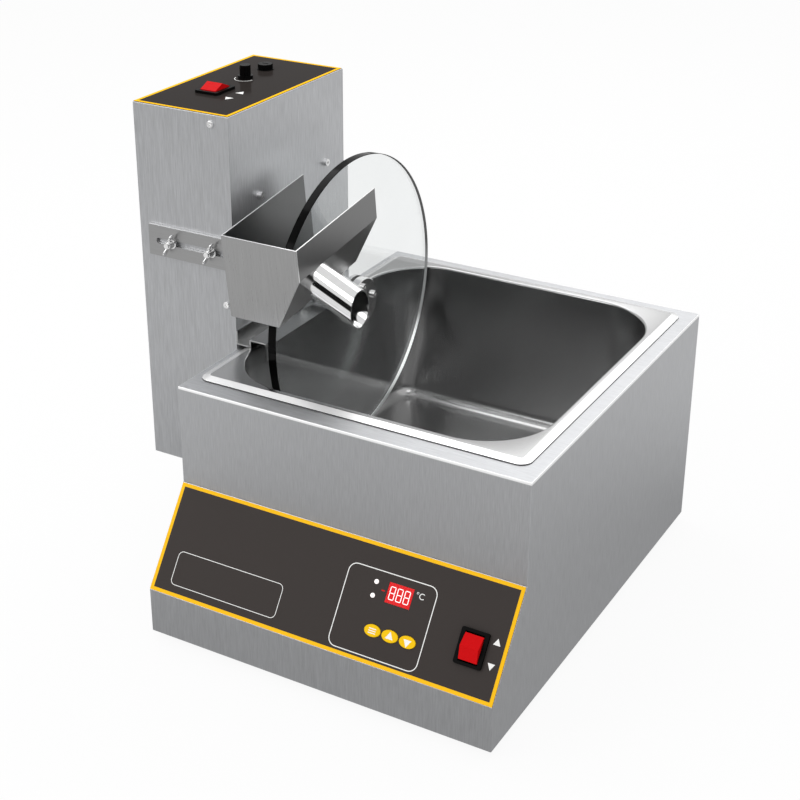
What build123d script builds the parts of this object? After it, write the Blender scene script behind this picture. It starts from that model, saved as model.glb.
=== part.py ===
from build123d import *
import os
from math import cos, hypot, radians, sin

os.makedirs("parts", exist_ok=True)

# Chocolate melting machine: a dry-heated melter with a mixing tower hung on its left side.
# Sizes are in millimetres. X runs to the right, Y to the back and Z up.
# The origin is on the table, in the middle of the ground that the melter and the tower cover together.

# Clearances
slide_gap = 0.3  # between pieces that move past each other
running_fit = 0.05  # radial, round a turning pin or shaft
panel_fit = 0.25  # round a piece set into a hole in a panel
screw_fit = 0.1  # radial, round a screw in a clearance hole

# Melting pan of the gastronorm 2/3 size
pan_width = 325.0
pan_length = 354.0
pan_sheet = 1.0
rim_height = 3.1
rim_bevel = 7.3
rim_corner = 11.0
rim_side = 12.5  # from the rim's outer edge to the opening, at the left and right
rim_end = 13.5  # the same at the front and back
rim_roll = 2.6
rim_land = 5.0  # solid ring of the rim round the opening
opening_corner = 65.0
pan_draft = 4.0  # degrees
pan_floor_radius = 24.0

# Melter casing of folded stainless sheet; its deck is the pan's rim and a margin on each side
deck_left = 6.5
deck_right = 14.0
deck_front = 20.5
deck_back = 11.5
casing_sheet = 1.2
bend_radius = 0.8
casing_flange = 24.0  # turned in at the bottom
console_reach = 58.0  # how far the lip stands in front of the upper wall
console_top = 127.0  # the slope's upper fold, above the casing's lower edge
console_lip = 44.0  # the slope's lower fold, above the casing's lower edge
overlay_thickness = 0.5
overlay_margin = 0.6

# Base plate, feet and screws
foot_height = 8.0
foot_radius = 14.0
foot_inset = 48.0
foot_taper = 6.0  # degrees
foot_recess_radius = 6.5
foot_recess_depth = 3.6
foot_screw_radius = 2.5
foot_nut_radius = 4.6
foot_nut_height = 4.0
base_sheet = 1.2
base_inset = 4.0
base_screw_radius = 1.9
base_screw_length = 6.0
vent_length = 44.0
vent_width = 5.0
vent_pitch_x = 60.0
vent_pitch_y = 16.0
vent_columns = 3
vent_rows = 4
screw_head_height = 2.0
screw_head_reach = 1.7  # how far a screw's head stands out round its shank
recess_width = 0.9

# Heating well and what surrounds it
pan_gap = 1.5  # between the pan's wall and the hole in the deck
well_gap = 4.0  # between the pan's wall and the well
well_floor_gap = 4.0
well_sheet = 3.0
well_flange = 8.0
heater_thickness = 3.0
heater_width = 250.0
heater_length = 120.0
heater_gap = 30.0  # between the two pads
insulation_gap = 0.5
insulation_side = 9.0
insulation_floor = 24.0
rail_height = 41.7
rail_length = 260.0
rail_width = 40.0
rail_sheet = 1.5
rail_pitch = 190.0
sensor_x = -30.0
sensor_drop = 90.0  # below the deck
sensor_width = 24.0
sensor_height = 12.0
sensor_depth = 6.0
sensor_barrel_radius = 3.0
sensor_barrel_reach = 8.0
cutout_x = 30.0
cutout_radius = 8.0
cutout_depth = 6.0
blade_width = 6.0
blade_sheet = 0.8
blade_length = 7.0
sensor_margin = 5.0

# Console controls; up is measured along the slope from its middle
controls_x = 58.0
controls_up = -8.0
board_width = 92.0
board_height = 68.0
board_sheet = 1.6
board_standoff = 14.0
pillar_radius = 3.0
pillar_inset = 5.0
display_x = 66.3
display_up = 12.3
display_width = 24.0
display_height = 18.0
display_bezel = 3.0
lamp_x = 42.4
lamp_up = 11.9
lamp_pitch = 12.0
lamp_radius = 2.0
lamp_stand = 0.7
button_x = 68.5
button_up = -22.2
button_pitch = 16.8
button_half_width = 7.7
button_half_height = 5.2
button_stand = 1.1
button_travel = 0.8
button_flange = 1.2
button_flange_side = 0.45
button_flange_end = 1.6
button_edge = 0.4
key_width = 6.0
relay_width = 28.0
relay_height = 16.0
relay_depth = 15.0
relay_x = 34.0
relay_up = -24.0

# Rocker switches, one on the console and one on the tower
switch_inset = 30.8  # from the casing's right side
switch_up = -10.0
bezel_width = 25.3
bezel_length = 30.7
bezel_height = 2.6
bezel_corner = 2.0
switch_body_width = 21.6
switch_body_length = 28.0
switch_body_depth = 20.0
rocker_width = 16.9
rocker_length = 22.4
rocker_side_gap = 0.45
rocker_end_gap = 1.4
rocker_well_depth = 12.0
rocker_stand = 0.4
rocker_ridge = 4.8
rocker_pivot_depth = 2.0
rocker_skirt_inset = 1.5
rocker_skirt_depth = 4.0
rocker_foot_width = 8.0
rocker_foot_depth = 8.0
rocker_pin_radius = 1.5
rocker_pin_reach = 1.55
terminal_pitch = 12.0

# Appliance inlets on the backs of the melter and the tower
inlet_flange_width = 50.0
inlet_flange_height = 24.0
inlet_flange_sheet = 3.0
inlet_flange_corner = 4.0
inlet_body_width = 27.5
inlet_body_height = 20.0
inlet_body_depth = 18.0
inlet_socket_width = 24.4
inlet_socket_height = 16.6
inlet_socket_depth = 15.0
inlet_corner = 2.0
inlet_pin_width = 2.0
inlet_pin_height = 4.0
inlet_pin_length = 12.0
inlet_pin_pitch = 14.0
inlet_pin_rise = 2.0
inlet_screw_pitch = 40.0
inlet_screw_radius = 1.6
inlet_screw_length = 7.0
melter_inlet_inset = 72.75  # from the casing's right side
melter_inlet_height = 22.0  # above the casing's lower edge
tower_inlet_height = 40.0  # above the tower's lower edge

# Mixing disc and its hub
shaft_over_rim = 18.6
disc_end_gap = 15.0  # between the disc and the pan's nearer end
disc_shift = 6.0  # from the pan's middle towards the back
disc_floor_gap = 26.0  # free depth under the disc
disc_inset = 37.0  # from the opening's left edge to the disc
disc_thickness = 8.3
disc_edge = 0.4
shaft_radius = 5.0
rear_flange_radius = 24.0
rear_flange_sheet = 4.0
rear_boss_radius = 10.0
rear_boss_length = 12.0
front_flange_radius = 23.7
front_flange_sheet = 8.0
front_flange_cover = 2.0  # metal left over the shaft's end
flange_edge = 0.6
hub_screw_count = 4
hub_screw_turn = 9.0  # degrees, from level towards the top
hub_screw_circle = 16.5
hub_screw_radius = 2.0
hub_head_radius = 3.6
hub_head_height = 2.6
hub_head_socket = 1.7

# Mixing tower
tower_gap = 1.5  # between the tower and the casing
tower_width = 105.2
tower_depth = 194.0
tower_height = 358.8
tower_rise = 86.4  # above the casing's lower edge
tower_sheet = 1.2
shaft_setback = 109.5  # from the tower's front to the shaft
side_flange = 26.0
tray_lip = 12.0
cover_screw_radius = 1.7
cover_screw_length = 6.0
cover_screw_top = 8.5  # below the tower's top
cover_screw_top_inset = 18.9
cover_screw_middle = 178.4  # above the tower's lower edge
cover_screw_inset = 9.1
cover_screw_bottom = 16.0
tray_screw_height = 7.0
tray_screw_inset = 40.0
buffer_radius = 10.0
buffer_pitch = 110.0
buffer_height = 34.0  # above the tower's lower edge
tower_vent_length = 60.0
tower_vent_width = 4.0
tower_vent_pitch = 12.0
tower_vent_count = 6
tower_vent_height = 250.0  # above the tower's lower edge

# Gear motor
motor_plate_sheet = 3.0
motor_plate_margin = 12.0
motor_screw_pitch_y = 113.8
motor_screw_rise = 115.0
motor_screw_shift = -8.0
motor_screw_radius = 2.0
motor_head_radius = 3.5
motor_head_height = 4.0
motor_head_socket = 1.6
motor_screw_tail = 2.0
gearbox_size = 76.0
gearbox_corner = 10.0
gearbox_depth = 40.0
shaft_engagement = 30.0
motor_can_radius = 31.0
motor_can_length = 50.0
bush_radius = 8.0
bush_flange_radius = 11.0
bush_flange_sheet = 2.0

# Speed board inside the tower
speed_board_width = 90.0
speed_board_height = 70.0
speed_board_drop = 62.0  # below the tower's top
speed_pillar_length = 8.0
capacitor_radius = 8.0
capacitor_length = 16.0
heat_sink_width = 40.0
heat_sink_height = 24.0
heat_sink_depth = 14.0

# Controls on the tower's top
tower_controls_shift = -7.5  # from the tower's middle
tower_switch_setback = 65.7  # from the tower's front
knob_setback = 115.0
fuse_setback = 152.8
fuse_shift = -2.5  # from the other controls
knob_skirt_radius = 7.3
knob_skirt_height = 3.0
knob_radius = 5.3
knob_height = 13.0
knob_flutes = 12
knob_flute_radius = 0.5
knob_recess_radius = 4.6
knob_recess_height = 4.0
knob_shaft_radius = 3.0
potentiometer_radius = 8.5
potentiometer_depth = 10.0
potentiometer_bush_radius = 3.6
potentiometer_bush_stand = 3.0
fuse_body_radius = 6.5
fuse_body_depth = 36.0
fuse_flange_radius = 8.0
fuse_flange_height = 0.6
fuse_cap_radius = 7.3
fuse_cap_height = 4.7
fuse_cap_flutes = 18
fuse_cap_flute_radius = 0.6
fuse_stem_radius = 3.6
fuse_stem_length = 14.0
fuse_slot_width = 1.6
fuse_slot_depth = 1.2

# Saddle that hangs the tower on the pan's left rim
saddle_sheet = 1.2
saddle_upstand = 14.0
saddle_riser = 0.4  # from the rim's bevel to the riser's inner face
saddle_rise = 6.6  # the shelf above the ledge
saddle_shelf = 11.4  # from the opening's edge to the leg
saddle_leg = 17.5
saddle_length = 184.0
saddle_notch = 34.0

# Chute over the disc
chute_tilt = 7.5  # degrees, with the back end higher
chute_rise = 109.0  # the front plate's top edge above the shaft
chute_nose = 11.6  # the front plate's top edge in front of the disc
chute_behind = 37.2  # from the left wall to the disc
chute_ahead = 5.9  # from the disc to the right wall's foot
chute_flare = 26.7  # how much wider the top is than the foot
chute_side = 30.1
chute_depth = 81.3
chute_length = 132.6
chute_sheet = 1.2
spout_setback = 34.5
spout_radius = 16.1
spout_sheet = 1.2
spout_fold_gap = 0.1
spout_reach = 36.6
scraper_gap = 0.5
scraper_lift = 0.8  # above the walls' lower edges
scraper_height = 5.0
scraper_tip = 1.5

# Slotted arm and its clamp
arm_sheet = 3.0
arm_height = 30.0
arm_drop = 38.4  # its middle below the chute's top edge
arm_start = 12.2  # from the tower's left side
slot_start = 8.5
slot_length = 81.0
slot_fit = 0.3
stud_radius = 2.5
stud_start = 38.5  # from the tower's left side
stud_pitch = 45.0
stud_length = 12.6
stud_head_radius = 4.5
stud_head_height = 1.5
nut_flange_radius = 5.2
nut_flange_sheet = 1.0
nut_hub_radius = 4.2
nut_hub_height = 7.0
nut_hub_taper = 8.0  # degrees
wing_reach = 9.0
wing_rise = 5.4
wing_tip_radius = 3.2
wing_root_reach = 3.2
wing_root_rise = 3.2
wing_root_radius = 2.0
wing_sheet = 1.8
wing_angle = 65.0  # degrees from level

# Casing: sizes that follow from the ones above
opening_width = pan_width - 2 * rim_side
opening_length = pan_length - 2 * rim_end
disc_radius = opening_length / 2 - disc_end_gap - disc_shift
pan_depth = disc_radius - shaft_over_rim + disc_floor_gap
casing_width = deck_left + pan_width + deck_right
casing_depth = deck_front + pan_length + deck_back
base_depth = casing_depth + console_reach
well_stack = insulation_floor + heater_thickness + well_sheet + well_floor_gap
casing_height = rail_height + well_stack + pan_sheet + pan_depth - rim_height
slope_rise = console_top - console_lip
slope_length = hypot(console_reach, slope_rise)

# The melter's middle, set off from the origin by what stands out past its left side, its front and its back
tower_reach = tower_gap + tower_width + screw_head_height
overlay_reach = (overlay_thickness * slope_rise - overlay_margin * console_reach) / slope_length
inlet_reach = inlet_flange_sheet + screw_head_height
melter_x = tower_reach / 2
melter_y = (overlay_reach - inlet_reach) / 2

# Casing: places
left = melter_x - casing_width / 2
right = melter_x + casing_width / 2
front = melter_y - base_depth / 2
back = melter_y + base_depth / 2
wall_front = front + console_reach
bottom = foot_height
deck = bottom + casing_height
rim_top = deck + rim_height
pan_x = left + deck_left + pan_width / 2
pan_y = wall_front + deck_front + pan_length / 2
base_under = bottom - base_sheet

# The console's plane: X to the right, Y up the slope and Z out of the face
console_middle = (melter_x, front + console_reach / 2, bottom + (console_top + console_lip) / 2)
console = Plane(origin=console_middle, x_dir=(1, 0, 0), z_dir=(0, -slope_rise, console_reach))

# Tower, disc and chute: places that follow
opening_left = pan_x - opening_width / 2
disc_left = opening_left + disc_inset
disc_right = disc_left + disc_thickness
shaft_y = pan_y + disc_shift
shaft_z = rim_top + shaft_over_rim
tower_right = left - tower_gap
tower_left = tower_right - tower_width
tower_front = shaft_y - shaft_setback
tower_back = tower_front + tower_depth
tower_bottom = bottom + tower_rise
tower_top = tower_bottom + tower_height
tower_x = tower_right - tower_width / 2
tower_y = tower_front + tower_depth / 2
tower_controls_x = tower_x + tower_controls_shift
fuse_x = tower_controls_x + fuse_shift
chute_left = disc_left - chute_behind
chute_foot = chute_behind + disc_thickness + chute_ahead
chute_width = chute_foot + chute_flare
chute_front_y = shaft_y - disc_radius - chute_nose
chute_top = shaft_z + chute_rise
arm_z = chute_top - arm_drop

# Planes that look out of the tower's faces, and the chute's front plate seen from the front
tower_face = Plane(origin=(0, tower_front, 0), x_dir=(1, 0, 0), z_dir=(0, -1, 0))
tower_side = Plane(origin=(tower_right, 0, 0), x_dir=(0, 1, 0), z_dir=(1, 0, 0))
tower_rear = Plane(origin=(0, tower_back, 0), x_dir=(-1, 0, 0), z_dir=(0, 1, 0))
tower_lid = Plane(origin=(0, 0, tower_top), x_dir=(1, 0, 0), z_dir=(0, 0, 1))
tilt = radians(chute_tilt)
chute_mouth = Plane(
    origin=(chute_left, chute_front_y, chute_top), x_dir=(1, 0, 0), z_dir=(0, -cos(tilt), -sin(tilt))
)

# Where the two rocker switches and the two inlets sit
switch_places = {
    "melter": Plane(
        origin=console.from_local_coords((casing_width / 2 - switch_inset, switch_up, 0)),
        x_dir=console.x_dir,
        z_dir=console.z_dir,
    ),
    "tower": Plane(
        origin=(tower_controls_x, tower_front + tower_switch_setback, tower_top),
        x_dir=(1, 0, 0),
        z_dir=(0, 0, 1),
    ),
}
inlet_places = {
    "melter": Plane(
        origin=(right - melter_inlet_inset, back, bottom + melter_inlet_height),
        x_dir=(-1, 0, 0),
        z_dir=(0, 1, 0),
    ),
    "tower": Plane(
        origin=(tower_x, tower_back, tower_bottom + tower_inlet_height), x_dir=(-1, 0, 0), z_dir=(0, 1, 0)
    ),
}
switch_hole = (switch_body_width + 2 * panel_fit, switch_body_length + 2 * panel_fit)
inlet_hole = (inlet_body_width + 2 * panel_fit, inlet_body_height + 2 * panel_fit)

# Screw places
foot_spots = [
    (x, y) for x in (left + foot_inset, right - foot_inset) for y in (front + foot_inset, back - foot_inset)
]
base_screw_spots = [
    (x, y)
    for x in (left + casing_flange / 2, melter_x, right - casing_flange / 2)
    for y in (front + casing_flange / 2, melter_y, back - casing_flange / 2)
    if x != melter_x or y != melter_y
]
cover_screw_spots = [
    (tower_right - cover_screw_top_inset, tower_top - cover_screw_top),
    (tower_right - cover_screw_inset, tower_bottom + cover_screw_middle),
    (tower_right - cover_screw_inset, tower_bottom + cover_screw_bottom),
]
motor_y = shaft_y + motor_screw_shift
motor_screw_columns = (motor_y - motor_screw_pitch_y / 2, motor_y + motor_screw_pitch_y / 2)
upper_motor_spots = [(y, shaft_z + motor_screw_rise) for y in motor_screw_columns]
lower_motor_spots = [(y, shaft_z - motor_screw_rise) for y in motor_screw_columns]
tray_screw_spots = [
    (-tower_front - tray_screw_inset, tower_bottom + tray_screw_height),
    (-tower_back + tray_screw_inset, tower_bottom + tray_screw_height),
]
stud_spots = [(tower_left + stud_start, arm_z), (tower_left + stud_start + stud_pitch, arm_z)]
button_spots = {
    "set_button": button_x - button_pitch,
    "up_button": button_x,
    "down_button": button_x + button_pitch,
}
lamp_spots = [(lamp_x, lamp_up - lamp_pitch / 2), (lamp_x, lamp_up + lamp_pitch / 2)]
casing_outline = [
    (wall_front, deck),
    (back, deck),
    (back, bottom),
    (front, bottom),
    (front, bottom + console_lip),
    (wall_front, bottom + console_top),
]


def pan_head_screw(shank_radius, shank_length):
    """A cross-recessed screw whose head stands on z = 0 and whose shank runs down."""
    head_radius = shank_radius + screw_head_reach
    with BuildPart() as screw:
        Cylinder(head_radius, screw_head_height, align=(Align.CENTER, Align.CENTER, Align.MIN))
        fillet(screw.faces().sort_by(Axis.Z)[-1].edges(), radius=screw_head_height / 2)
        with BuildSketch(Plane.XY.offset(screw_head_height)):
            Rectangle(head_radius, recess_width)
            Rectangle(recess_width, head_radius)
        extrude(amount=-screw_head_height / 2, mode=Mode.SUBTRACT)
        Cylinder(shank_radius, shank_length, align=(Align.CENTER, Align.CENTER, Align.MAX))
    return screw.part


def socket_screw(head_radius, head_height, socket_radius, shank_radius, shank_length):
    """A cap screw with a hexagon socket, standing on z = 0 with its shank running down."""
    with BuildPart() as screw:
        Cylinder(head_radius, head_height, align=(Align.CENTER, Align.CENTER, Align.MIN))
        with BuildSketch(Plane.XY.offset(head_height)):
            RegularPolygon(socket_radius, 6)
        extrude(amount=-head_height / 2, mode=Mode.SUBTRACT)
        Cylinder(shank_radius, shank_length, align=(Align.CENTER, Align.CENTER, Align.MAX))
    return screw.part


def spots_on(plane, spots):
    """The given points of a plane, as locations that look out of it."""
    return [Plane(plane.from_local_coords((x, y, 0)), plane.x_dir, plane.z_dir).location for x, y in spots]


def spots_under(height, spots):
    """The given points of the ground plan at a height, as locations that look down."""
    return [Plane((x, y, height), x_dir=(1, 0, 0), z_dir=(0, 0, -1)).location for x, y in spots]


# Melter: casing shell with its deck, console slope, turned-in flange and openings
with BuildPart() as casing_shell:
    with BuildSketch(Plane.YZ.offset(melter_x)):
        with BuildLine():
            Polyline(*casing_outline, close=True)
        make_face()
    extrude(amount=casing_width / 2, both=True)
    deck_edges = casing_shell.faces().sort_by(Axis.Z)[-1].edges()
    upright_edges = casing_shell.edges().filter_by(Axis.Z)
    fillet(deck_edges + upright_edges, radius=bend_radius)
    with BuildSketch(Plane.YZ.offset(melter_x)):
        with BuildLine():
            Polyline(*casing_outline, close=True)
        make_face()
        offset(amount=-casing_sheet, kind=Kind.INTERSECTION)
    extrude(amount=casing_width / 2 - casing_sheet, both=True, mode=Mode.SUBTRACT)
    with BuildSketch(Plane.XY.offset(bottom)):
        with Locations((melter_x, melter_y)):
            Rectangle(casing_width - 2 * casing_flange, base_depth - 2 * casing_flange)
    extrude(amount=casing_sheet, mode=Mode.SUBTRACT)
    with BuildSketch(Plane.XY.offset(bottom)):
        with Locations(*base_screw_spots):
            Circle(base_screw_radius)
    extrude(amount=casing_sheet, mode=Mode.SUBTRACT)
    with BuildSketch(Plane.XY.offset(deck)):
        with Locations((pan_x, pan_y)):
            RectangleRounded(
                opening_width + 2 * (pan_sheet + pan_gap),
                opening_length + 2 * (pan_sheet + pan_gap),
                opening_corner + pan_sheet + pan_gap,
            )
    extrude(amount=-casing_sheet, mode=Mode.SUBTRACT)
    with BuildSketch(console):
        with Locations((display_x, display_up)):
            Rectangle(display_width, display_height)
        with Locations(*lamp_spots):
            Circle(lamp_radius + panel_fit)
        with Locations(*[(x, button_up) for x in button_spots.values()]):
            Ellipse(button_half_width + slide_gap, button_half_height + slide_gap)
    extrude(amount=-casing_sheet, mode=Mode.SUBTRACT)
    with BuildSketch(switch_places["melter"]):
        Rectangle(*switch_hole)
    extrude(amount=-casing_sheet, mode=Mode.SUBTRACT)
    with BuildSketch(inlet_places["melter"]):
        Rectangle(*inlet_hole)
        with GridLocations(inlet_screw_pitch, 0, 2, 1):
            Circle(inlet_screw_radius)
    extrude(amount=-casing_sheet, mode=Mode.SUBTRACT)
casing_shell.part.label = "casing_shell"
export_step(casing_shell.part, "parts/casing_shell.step")

# Base plate with vent slots, screwed under the casing's flange
with BuildPart() as base_plate:
    with BuildSketch(Plane.XY.offset(base_under)):
        with Locations((melter_x, melter_y)):
            Rectangle(casing_width - 2 * base_inset, base_depth - 2 * base_inset)
            with GridLocations(vent_pitch_x, vent_pitch_y, vent_columns, vent_rows):
                SlotOverall(vent_length, vent_width, mode=Mode.SUBTRACT)
    extrude(amount=base_sheet)
    with Locations(*[(x, y, bottom) for x, y in base_screw_spots]):
        Hole(base_screw_radius + screw_fit, base_sheet)
    with Locations(*[(x, y, bottom) for x, y in foot_spots]):
        Hole(foot_screw_radius + screw_fit, base_sheet)
base_plate.part.label = "base_plate"
export_step(base_plate.part, "parts/base_plate.step")

# Rubber feet, each with a recess for its screw
with BuildPart() as feet:
    with BuildSketch(Plane.XY.offset(base_under)):
        with Locations(*foot_spots):
            Circle(foot_radius)
    extrude(amount=-base_under, taper=foot_taper)
    with Locations(*spots_under(0, foot_spots)):
        CounterBoreHole(foot_screw_radius + screw_fit, foot_recess_radius, foot_recess_depth)
feet.part.label = "feet"
export_step(feet.part, "parts/feet.step")

# Foot screws, each with the nut that holds it on the base plate
foot_screw = pan_head_screw(foot_screw_radius, bottom + foot_nut_height - foot_recess_depth)
with BuildPart() as foot_screws:
    with Locations(*spots_under(foot_recess_depth, foot_spots)):
        add(foot_screw)
    with BuildSketch(Plane.XY.offset(bottom)):
        with Locations(*foot_spots):
            RegularPolygon(foot_nut_radius, 6)
    extrude(amount=foot_nut_height)
foot_screws.part.label = "foot_screws"
export_step(foot_screws.part, "parts/foot_screws.step")

# Screws that hold the base plate to the casing's flange
base_screw = pan_head_screw(base_screw_radius, base_screw_length)
with BuildPart() as base_screws:
    with Locations(*spots_under(base_under, base_screw_spots)):
        add(base_screw)
base_screws.part.label = "base_screws"
export_step(base_screws.part, "parts/base_screws.step")

# The space inside the pan
with BuildPart() as pan_space:
    with BuildSketch(Plane.XY.offset(rim_top)):
        with Locations((pan_x, pan_y)):
            RectangleRounded(opening_width, opening_length, opening_corner)
    extrude(amount=-pan_depth, taper=pan_draft)
    fillet(pan_space.faces().sort_by(Axis.Z)[0].edges(), radius=pan_floor_radius)

# Melting pan: bevelled rim, drawn wall and floor
with BuildPart() as melting_pan:
    with BuildSketch(Plane.XY.offset(deck)):
        with Locations((pan_x, pan_y)):
            RectangleRounded(pan_width, pan_length, rim_corner)
    extrude(amount=rim_height)
    rim_edges = melting_pan.faces().sort_by(Axis.Z)[-1].edges()
    chamfer(rim_edges, length=rim_height - pan_sheet / 2, length2=rim_bevel)
    with BuildSketch(Plane.XY.offset(deck)):
        with Locations((pan_x, pan_y)):
            RectangleRounded(pan_width - 2 * rim_bevel, pan_length - 2 * rim_bevel, rim_corner)
            RectangleRounded(
                opening_width + 2 * rim_land,
                opening_length + 2 * rim_land,
                opening_corner + rim_land,
                mode=Mode.SUBTRACT,
            )
    extrude(amount=rim_height - pan_sheet, mode=Mode.SUBTRACT)
    with BuildSketch(Plane.XY.offset(rim_top)):
        with Locations((pan_x, pan_y)):
            RectangleRounded(
                opening_width + 2 * pan_sheet, opening_length + 2 * pan_sheet, opening_corner + pan_sheet
            )
    extrude(amount=-(pan_depth + pan_sheet), taper=pan_draft)
    fillet(melting_pan.faces().sort_by(Axis.Z)[0].edges(), radius=pan_floor_radius + pan_sheet)
    add(pan_space.part, mode=Mode.SUBTRACT)
    mouth_edges = melting_pan.faces().sort_by(Axis.Z)[-1].inner_wires()[0].edges()
    fillet(mouth_edges, radius=rim_roll)
melting_pan.part.label = "melting_pan"
export_step(melting_pan.part, "parts/melting_pan.step")

# Aluminium heating well round the pan, hung under the deck by its flange
well_top = deck - casing_sheet
well_floor = rim_top - pan_depth - pan_sheet - well_floor_gap
well_bottom = well_floor - well_sheet
well_inner = (opening_width + 2 * (pan_sheet + well_gap), opening_length + 2 * (pan_sheet + well_gap))
well_outer = (well_inner[0] + 2 * well_sheet, well_inner[1] + 2 * well_sheet)
well_inner_corner = opening_corner + pan_sheet + well_gap
well_corner = well_inner_corner + well_sheet
well_front = pan_y - well_outer[1] / 2
with BuildPart() as heating_well:
    with BuildSketch(Plane.XY.offset(well_top)):
        with Locations((pan_x, pan_y)):
            RectangleRounded(
                well_outer[0] + 2 * well_flange, well_outer[1] + 2 * well_flange, well_corner + well_flange
            )
    extrude(amount=-well_sheet)
    with BuildSketch(Plane.XY.offset(well_top)):
        with Locations((pan_x, pan_y)):
            RectangleRounded(*well_outer, well_corner)
    extrude(amount=well_bottom - well_top)
    with BuildSketch(Plane.XY.offset(well_top)):
        with Locations((pan_x, pan_y)):
            RectangleRounded(*well_inner, well_inner_corner)
    extrude(amount=well_floor - well_top, mode=Mode.SUBTRACT)
heating_well.part.label = "heating_well"
export_step(heating_well.part, "parts/heating_well.step")

# Flat heater pads under the well
with BuildPart() as heater_pads:
    with BuildSketch(Plane.XY.offset(well_bottom)):
        with Locations((pan_x, pan_y)):
            with GridLocations(0, heater_length + heater_gap, 1, 2):
                Rectangle(heater_width, heater_length)
    extrude(amount=-heater_thickness)
heater_pads.part.label = "heater_pads"
export_step(heater_pads.part, "parts/heater_pads.step")

# Insulation round and under the well, with a window for the sensor and the cut-out
insulation_top = well_top - well_sheet
insulation_inner_floor = well_bottom - heater_thickness
insulation_bottom = insulation_inner_floor - insulation_floor
insulation_inner = (well_outer[0] + 2 * insulation_gap, well_outer[1] + 2 * insulation_gap)
insulation_corner = well_corner + insulation_gap
sensor_plane = Plane(origin=(pan_x, well_front, deck - sensor_drop), x_dir=(1, 0, 0), z_dir=(0, -1, 0))
window_left = sensor_x - sensor_width / 2 - sensor_margin
window_right = cutout_x + cutout_radius + sensor_margin
with BuildPart() as insulation:
    with BuildSketch(Plane.XY.offset(insulation_top)):
        with Locations((pan_x, pan_y)):
            RectangleRounded(
                insulation_inner[0] + 2 * insulation_side,
                insulation_inner[1] + 2 * insulation_side,
                insulation_corner + insulation_side,
            )
    extrude(amount=insulation_bottom - insulation_top)
    with BuildSketch(Plane.XY.offset(insulation_top)):
        with Locations((pan_x, pan_y)):
            RectangleRounded(*insulation_inner, insulation_corner)
    extrude(amount=insulation_inner_floor - insulation_top, mode=Mode.SUBTRACT)
    with BuildSketch(sensor_plane):
        with Locations(((window_left + window_right) / 2, 0)):
            Rectangle(window_right - window_left, 2 * (cutout_radius + sensor_margin))
    extrude(amount=insulation_gap + insulation_side, mode=Mode.SUBTRACT)
insulation.part.label = "insulation"
export_step(insulation.part, "parts/insulation.step")

# Channel rails that carry the well and its insulation on the base plate
with BuildPart() as support_rails:
    for y in (pan_y - rail_pitch / 2, pan_y + rail_pitch / 2):
        with BuildSketch(Plane.YZ.offset(melter_x)):
            with Locations((y, bottom + rail_height / 2)):
                Rectangle(rail_width, rail_height)
            with Locations((y, bottom + (rail_height - rail_sheet) / 2)):
                Rectangle(rail_width - 2 * rail_sheet, rail_height - rail_sheet, mode=Mode.SUBTRACT)
        extrude(amount=rail_length / 2, both=True)
support_rails.part.label = "support_rails"
export_step(support_rails.part, "parts/support_rails.step")

# Temperature sensor clamped on the well's front wall
with BuildPart() as temperature_sensor:
    with BuildSketch(sensor_plane):
        with Locations((sensor_x, 0)):
            Rectangle(sensor_width, sensor_height)
    extrude(amount=sensor_depth)
    with BuildSketch(Plane.YZ.offset(pan_x + sensor_x + sensor_width / 2)):
        with Locations((well_front - sensor_depth / 2, deck - sensor_drop)):
            Circle(sensor_barrel_radius)
    extrude(amount=sensor_barrel_reach)
temperature_sensor.part.label = "temperature_sensor"
export_step(temperature_sensor.part, "parts/temperature_sensor.step")

# Over-temperature cut-out beside the sensor
with BuildPart() as thermal_cutout:
    with BuildSketch(sensor_plane):
        with Locations((cutout_x, 0)):
            Circle(cutout_radius)
    extrude(amount=cutout_depth)
    with BuildSketch(sensor_plane.offset(cutout_depth)):
        with Locations((cutout_x, 0)):
            with GridLocations(cutout_radius, 0, 2, 1):
                Rectangle(blade_sheet, blade_width)
    extrude(amount=blade_length)
thermal_cutout.part.label = "thermal_cutout"
export_step(thermal_cutout.part, "parts/thermal_cutout.step")

# Printed overlay on the console's slope
with BuildPart() as console_overlay:
    with BuildSketch(console):
        Rectangle(casing_width - 2 * overlay_margin, slope_length - 2 * overlay_margin)
        with Locations((display_x, display_up)):
            Rectangle(display_width, display_height, mode=Mode.SUBTRACT)
        with Locations(*lamp_spots):
            Circle(lamp_radius + panel_fit, mode=Mode.SUBTRACT)
        with Locations(*[(x, button_up) for x in button_spots.values()]):
            Ellipse(button_half_width + slide_gap, button_half_height + slide_gap, mode=Mode.SUBTRACT)
        with Locations((casing_width / 2 - switch_inset, switch_up)):
            Rectangle(*switch_hole, mode=Mode.SUBTRACT)
    extrude(amount=overlay_thickness)
console_overlay.part.label = "console_overlay"
export_step(console_overlay.part, "parts/console_overlay.step")

# Controller board behind the console, with its display block, key switches and relay
button_flange_top = -casing_sheet - slide_gap
key_top = button_flange_top - button_flange - button_travel - slide_gap
with BuildPart() as controller_board:
    with BuildSketch(console.offset(-board_standoff)):
        with Locations((controls_x, controls_up)):
            Rectangle(board_width, board_height)
    extrude(amount=-board_sheet)
    with BuildSketch(console.offset(-board_standoff)):
        with Locations((display_x, display_up)):
            Rectangle(display_width + 2 * display_bezel, display_height + 2 * display_bezel)
    extrude(amount=board_standoff - casing_sheet)
    with BuildSketch(console.offset(-board_standoff)):
        with Locations(*[(x, button_up) for x in button_spots.values()]):
            Rectangle(key_width, key_width)
    extrude(amount=board_standoff + key_top)
    with BuildSketch(console.offset(-board_standoff - board_sheet)):
        with Locations((relay_x, relay_up)):
            Rectangle(relay_width, relay_height)
    extrude(amount=-relay_depth)
controller_board.part.label = "controller_board"
export_step(controller_board.part, "parts/controller_board.step")

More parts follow.
